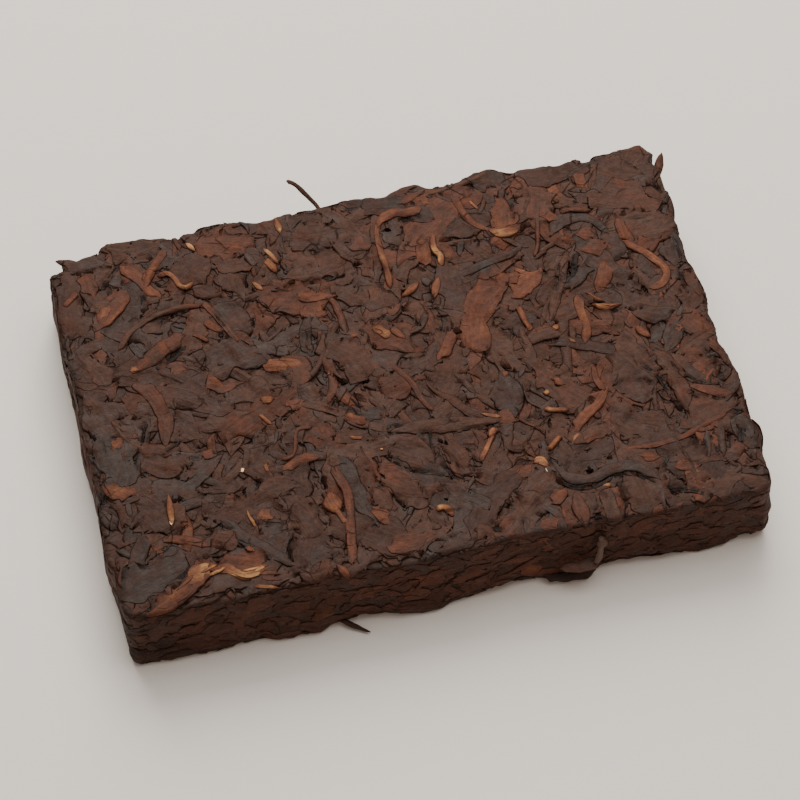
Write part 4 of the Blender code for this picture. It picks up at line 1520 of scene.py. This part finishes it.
class TeaBrickLeaves(bpy.types.PropertyGroup):
    """How many leaves of each kind lie on the top, and how flat they are pressed"""

    seed: IntProperty(name="Seed", description="Chooses how the leaves lie", default=7, min=0)
    broad_count: IntProperty(name="Broad Leaves", description="Broad leaves on the top", default=150)
    flake_count: IntProperty(name="Flakes", description="Torn flakes of leaf on the top", default=380)
    strip_count: IntProperty(name="Leaf Strips", description="Rolled strips on the top", default=200)
    shred_count: IntProperty(name="Shreds", description="Short shreds on the top", default=520)
    stalk_count: IntProperty(name="Stalks", description="Stalks on the top", default=8)
    tip_count: IntProperty(name="Golden Tips", description="Golden buds on the top", default=8)
    crumb_count: IntProperty(name="Crumbs", description="Crumbs on the top", default=500)
    press_radius: FloatProperty(
        name="Press Radius",
        description="Swells wider than this are pressed flat",
        default=6.0 * MM,
        unit="LENGTH",
    )


class TeaBrickColours(bpy.types.PropertyGroup):
    """The palette of the leaves, from dark to pale, and the floor"""

    # Slate's grey is partly the leaf's own and partly painted sheen, the soft grey glint on flat leaves.
    slate: colour_setting("Slate", "Dark leaf with a grey skin", (0.040, 0.0260, 0.0212))
    chocolate: colour_setting("Chocolate", "Common dark leaf", (0.045, 0.0218, 0.0152))
    brown: colour_setting("Brown", "Mid brown leaf", (0.057, 0.0248, 0.0158))
    red_brown: colour_setting("Red Brown", "Reddish leaf", (0.080, 0.0285, 0.0168))
    orange_brown: colour_setting("Orange Brown", "Bright reddish stalk or leaf", (0.124, 0.0450, 0.0225))
    tan: colour_setting("Tan", "Pale stalk", (0.185, 0.080, 0.0355))
    golden: colour_setting("Golden", "Downy bud", (0.292, 0.150, 0.062))
    pale: colour_setting("Pale", "Pale specks and tips", (0.780, 0.620, 0.440))
    floor: colour_setting("Floor", "Plain pale floor", (0.78, 0.74, 0.69))


class TeaBrickStage(bpy.types.PropertyGroup):
    """Where the camera stands, and its lens"""

    azimuth: FloatProperty(
        name="Azimuth",
        description="How far round from the front the camera stands",
        default=math.radians(-13.47),
        subtype="ANGLE",
    )
    elevation: FloatProperty(
        name="Elevation",
        description="How far the camera looks down",
        default=math.radians(56.58),
        subtype="ANGLE",
    )
    distance: FloatProperty(
        name="Distance", description="Camera to the brick's middle", default=0.7787, unit="LENGTH"
    )
    focal_length: FloatProperty(name="Focal Length", description="In mm on a 36 mm sensor", default=149.0)


# ---- Operators ----


class TEABRICK_OT_core(bpy.types.Operator):
    """Adds the core under the leaves"""

    bl_idname = "teabrick.core"
    bl_label = "Core"

    def execute(self, context):
        core = build_core(leaf_material("core_leaf", mottle=0.40, fibre=0.3))
        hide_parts("tea_brick")
        return {"FINISHED"}


def on_top(a, b, lift):
    """Chart and lift to a place on the top."""
    return fold_over(a, b, lift, 1)


def on_underside(a, b, lift):
    """Chart and lift to a place on the underside, where nothing is lower than the floor."""
    return fold_over(a, b, np.minimum(lift, 0), -1)


class TEABRICK_OT_top(bpy.types.Operator):
    """Adds the leaves of the top"""

    bl_idname = "teabrick.top"
    bl_label = "Top Leaves"

    def execute(self, context):
        layers, _ = top_layers()
        looks = {
            "broad": ("broad_leaves", "pressed_leaf", {}),
            "flake": ("leaf_flakes", "pressed_leaf", {}),
            "strip": ("leaf_strips", "pressed_leaf", {}),
            "shred": ("leaf_shreds", "pressed_leaf", {}),
            "stalk": ("stalks", "stalk", dict(mottle=0.40, fibre=1.7)),
            "tip": ("golden_tips", "golden_tip", dict(fibre=1.5)),
            "crumb": ("crumbs", "pressed_leaf", {}),
        }
        for kind, (name, slot, finish) in looks.items():
            build_leaves(name, layers[kind], on_top, leaf_material(name, **finish))
        return {"FINISHED"}


# The sides' leaves have tones nearer to each other and redder, the red partly painted warm bounce
# light; weaker painted pit shade; and painted shade that darkens them, most of all near the front
# left corner.
SIDE_TONE, SIDE_TONE_SPREAD = 0.42, 0.37
SIDE_PIT_SHADE_SHARE = 0.7
SIDE_PAINTED_SHADE = -0.9
CORNER_PAINTED_SHADE = -1.4
CORNER_SPAN = 24 * MM


class TEABRICK_OT_sides(bpy.types.Operator):
    """Adds the leaf layers of the sides"""

    bl_idname = "teabrick.sides"
    bl_label = "Side Leaves"

    def execute(self, context):
        layers, _ = side_layers()
        for kind, layer in layers.items():
            gap = girth_gap(layer["chart"][..., 0], *SLAB_LOW[:2])
            corner = np.exp(-((gap / CORNER_SPAN) ** 2))
            # Painted shade darkens the sides, most of all near the front left corner; the tone shift adds
            # painted warm bounce light.
            muted_and_painted = dict(layer, pit=SIDE_PIT_SHADE_SHARE * layer["pit"])
            muted_and_painted["tone"] = SIDE_TONE + SIDE_TONE_SPREAD * layer["tone"]
            muted_and_painted["shade"] = layer["shade"] + SIDE_PAINTED_SHADE + CORNER_PAINTED_SHADE * corner
            material = leaf_material("side_" + kind, mottle=0.22)
            build_leaves("side_" + kind, muted_and_painted, stand_on_side, material)
        return {"FINISHED"}


class TEABRICK_OT_underside(bpy.types.Operator):
    """Adds the leaves of the underside"""

    bl_idname = "teabrick.underside"
    bl_label = "Underside Leaves"

    def execute(self, context):
        layers, _ = under_layers()
        for kind, layer in layers.items():
            material = leaf_material("under_" + kind)
            build_leaves("under_" + kind, layer, on_underside, material, mirrored=True)
        return {"FINISHED"}


class TEABRICK_OT_loose(bpy.types.Operator):
    """Adds the stalks and slivers that stick out of the brick"""

    bl_idname = "teabrick.loose"
    bl_label = "Loose Pieces"

    def execute(self, context):
        upward, forward = np.array([0, 0, 1.0]), np.array([0, -1.0, 0])
        tilted = np.array([0, -0.5, 0.87])
        stalk = build_loose(
            "back_stalk_leaf", "stalk", "back_stalk",
            (
                (0.90, -0.20, -0.05), (0.76, 0.16, 0.18), (0.56, 0.42, 0.42),
                (0.35, 0.66, 0.66), (0.1, 0.93, 0.87), (-0.16, 1.06, 1.0),
            ),
            width=1.2, thick=0.7, tone=0.30, shade=0.4, up=upward, seed=31,
        )
        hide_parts("back_stalk")
        # High shades on the twig's stalk, knob and leaf are painted light, where they catch light off the
        # shaded front.
        twig = build_loose(
            "front_twig_stalk", "stalk", "front_twig",
            (
                (0.97, 1.40, 1.00), (0.95, 0.85, 0.86), (0.89, 0.45, 0.65),
                (0.83, 0.15, 0.42), (0.77, 0.04, 0.26),
            ),
            width=1.6, thick=0.9, tone=0.06, shade=8.0, up=forward, seed=32,
        )
        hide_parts("front_twig")
        build_loose(
            "front_twig_knob", "flake", "front_twig",
            ((0.97, 1.0, 0.96), (0.94, 0.55, 0.78)),
            width=2.2, thick=0.5, tone=0.10, shade=6.0, up=forward, seed=37,
        )
        build_loose(
            "front_twig_leaf", "flake", "front_twig",
            ((0.88, 0.50, 0.25), (0.40, 0.52, 0.22), (-0.16, 0.80, 0.18)),
            width=3.0, thick=0.5, tone=0.10, shade=5.5, up=upward, seed=33,
        )
        build_loose(
            "front_twig_shadow_leaf", "flake", "front_twig",
            ((0.86, 0.98, -0.28), (0.45, 0.95, -0.33), (-0.05, 1.1, -0.31), (-0.55, 1.35, -0.26)),
            width=2.3, thick=0.6, tone=0.04, shade=-1.0, up=tilted, seed=38,
        )
        splinter = build_loose(
            "front_splinter_leaf", "strip", "front_splinter",
            ((-0.3, 1.35, 1.2), (0.30, 0.72, 0.6), (1.0, 0.05, 0.25)),
            width=1.3, thick=0.35, tone=0.12, shade=0.0, up=upward, seed=34,
        )
        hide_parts("front_splinter")
        corner = build_loose(
            "corner_sliver_leaf", "tip", "corner_sliver",
            ((-0.9, -0.3, 0.3), (-0.2, 0.16, 0.5), (0.45, 0.62, 0.7), (1.0, 1.0, 0.95)),
            width=2.4, thick=0.6, tone=0.52, shade=0.0, up=upward, seed=35,
        )
        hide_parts("corner_sliver")
        back = build_loose(
            "back_sliver_leaf", "tip", "back_sliver",
            ((2.2, -1.3, 0.4), (1.1, -0.25, 0.6), (0.5, 0.25, 0.7), (0.0, 0.62, 0.8)),
            width=2.6, thick=0.6, tone=0.25, shade=0.0, up=upward, seed=36,
        )
        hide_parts("back_sliver")
        return {"FINISHED"}


# Square soft lights that face the brick: name, place, size, power and colour.
LIGHTS = (
    ("window", (0.05, 0.78, 0.80), 0.90, 17.0, (1.0, 0.97, 0.93)),
    ("overhead", (0.20, 0.05, 1.10), 0.80, 7.0, (1.0, 0.98, 0.96)),
    ("warm fill", (-0.15, -0.95, 0.40), 0.80, 1.0, (1.0, 0.50, 0.32)),
)
WORLD_COLOUR, WORLD_STRENGTH = (1.0, 0.90, 0.80, 1), 0.35
FLOOR_HALF = 3

# The point that the camera looks at.
LOOK_AT = (-0.58 * MM, -1.10 * MM, 10.76 * MM)


class TEABRICK_OT_stage(bpy.types.Operator):
    """Adds the floor, the soft lights and the camera"""

    bl_idname = "teabrick.stage"
    bl_label = "Stage"

    def execute(self, context):
        settings = context.scene.tea_brick_stage
        colours = context.scene.tea_brick_colours
        mesh = bpy.data.meshes.new("floor")
        corners = [(x * FLOOR_HALF, y * FLOOR_HALF, 0) for x, y in ((-1, -1), (1, -1), (1, 1), (-1, 1))]
        mesh.from_pydata(corners, [], [(0, 1, 2, 3)])
        floor = bpy.data.objects.new("floor", mesh)
        context.scene.collection.objects.link(floor)
        paint = bpy.data.materials.new("pale_floor")
        paint.use_nodes = True
        shader = paint.node_tree.nodes["Principled BSDF"]
        shader.inputs["Base Color"].default_value = (*colours.floor, 1)
        shader.inputs["Roughness"].default_value = 0.8
        mesh.materials.append(paint)
        middle = Vector((*CENTRE, TOP / 2))
        for name, place, size, power, colour in LIGHTS:
            light = bpy.data.lights.new(name, "AREA")
            light.size = size
            light.energy = power
            light.color = colour
            lamp = bpy.data.objects.new(name, light)
            lamp.location = place
            lamp.rotation_euler = (middle - Vector(place)).to_track_quat("-Z", "Y").to_euler()
            context.scene.collection.objects.link(lamp)
        world = bpy.data.worlds.new("studio")
        world.use_nodes = True
        background = world.node_tree.nodes["Background"]
        background.inputs["Color"].default_value = WORLD_COLOUR
        background.inputs["Strength"].default_value = WORLD_STRENGTH
        context.scene.world = world
        a, e = settings.azimuth, settings.elevation
        back = Vector((math.sin(a) * math.cos(e), -math.cos(a) * math.cos(e), math.sin(e)))
        camera_data = bpy.data.cameras.new("camera")
        camera_data.lens = settings.focal_length
        camera_data.sensor_width = 36
        camera = bpy.data.objects.new("camera", camera_data)
        camera.location = Vector(LOOK_AT) + back * settings.distance
        camera.rotation_euler = back.to_track_quat("Z", "Y").to_euler()
        context.scene.collection.objects.link(camera)
        context.scene.camera = camera
        return {"FINISHED"}


class TEABRICK_PT_panel(bpy.types.Panel):
    """Lists the settings and the operators"""

    bl_label = "Tea Brick"
    bl_idname = "TEABRICK_PT_panel"
    bl_space_type = "VIEW_3D"
    bl_region_type = "UI"
    bl_category = "Tea Brick"

    def draw(self, context):
        for name in GROUPS:
            group = getattr(context.scene, name)
            box = self.layout.box()
            for key in group.__annotations__:
                box.prop(group, key)
        for operator in OPERATORS:
            self.layout.operator(operator.bl_idname)


GROUPS = {
    "tea_brick_leaves": TeaBrickLeaves,
    "tea_brick_colours": TeaBrickColours,
    "tea_brick_stage": TeaBrickStage,
}
OPERATORS = (
    TEABRICK_OT_stage,
    TEABRICK_OT_core,
    TEABRICK_OT_top,
    TEABRICK_OT_sides,
    TEABRICK_OT_underside,
    TEABRICK_OT_loose,
)


def register():
    """Adds the classes to Blender and the settings to each scene."""
    for cls in (*GROUPS.values(), *OPERATORS, TEABRICK_PT_panel):
        bpy.utils.register_class(cls)
    for name, cls in GROUPS.items():
        setattr(bpy.types.Scene, name, PointerProperty(type=cls))


def unregister():
    """Takes away what register adds."""
    for name in GROUPS:
        delattr(bpy.types.Scene, name)
    for cls in reversed((*GROUPS.values(), *OPERATORS, TEABRICK_PT_panel)):
        bpy.utils.unregister_class(cls)


def main():
    """Builds the stage and the brick."""
    register()
    bpy.ops.teabrick.stage()
    bpy.ops.teabrick.core()
    bpy.ops.teabrick.top()
    bpy.ops.teabrick.sides()
    bpy.ops.teabrick.underside()
    bpy.ops.teabrick.loose()


if __name__ == "__main__":
    main()
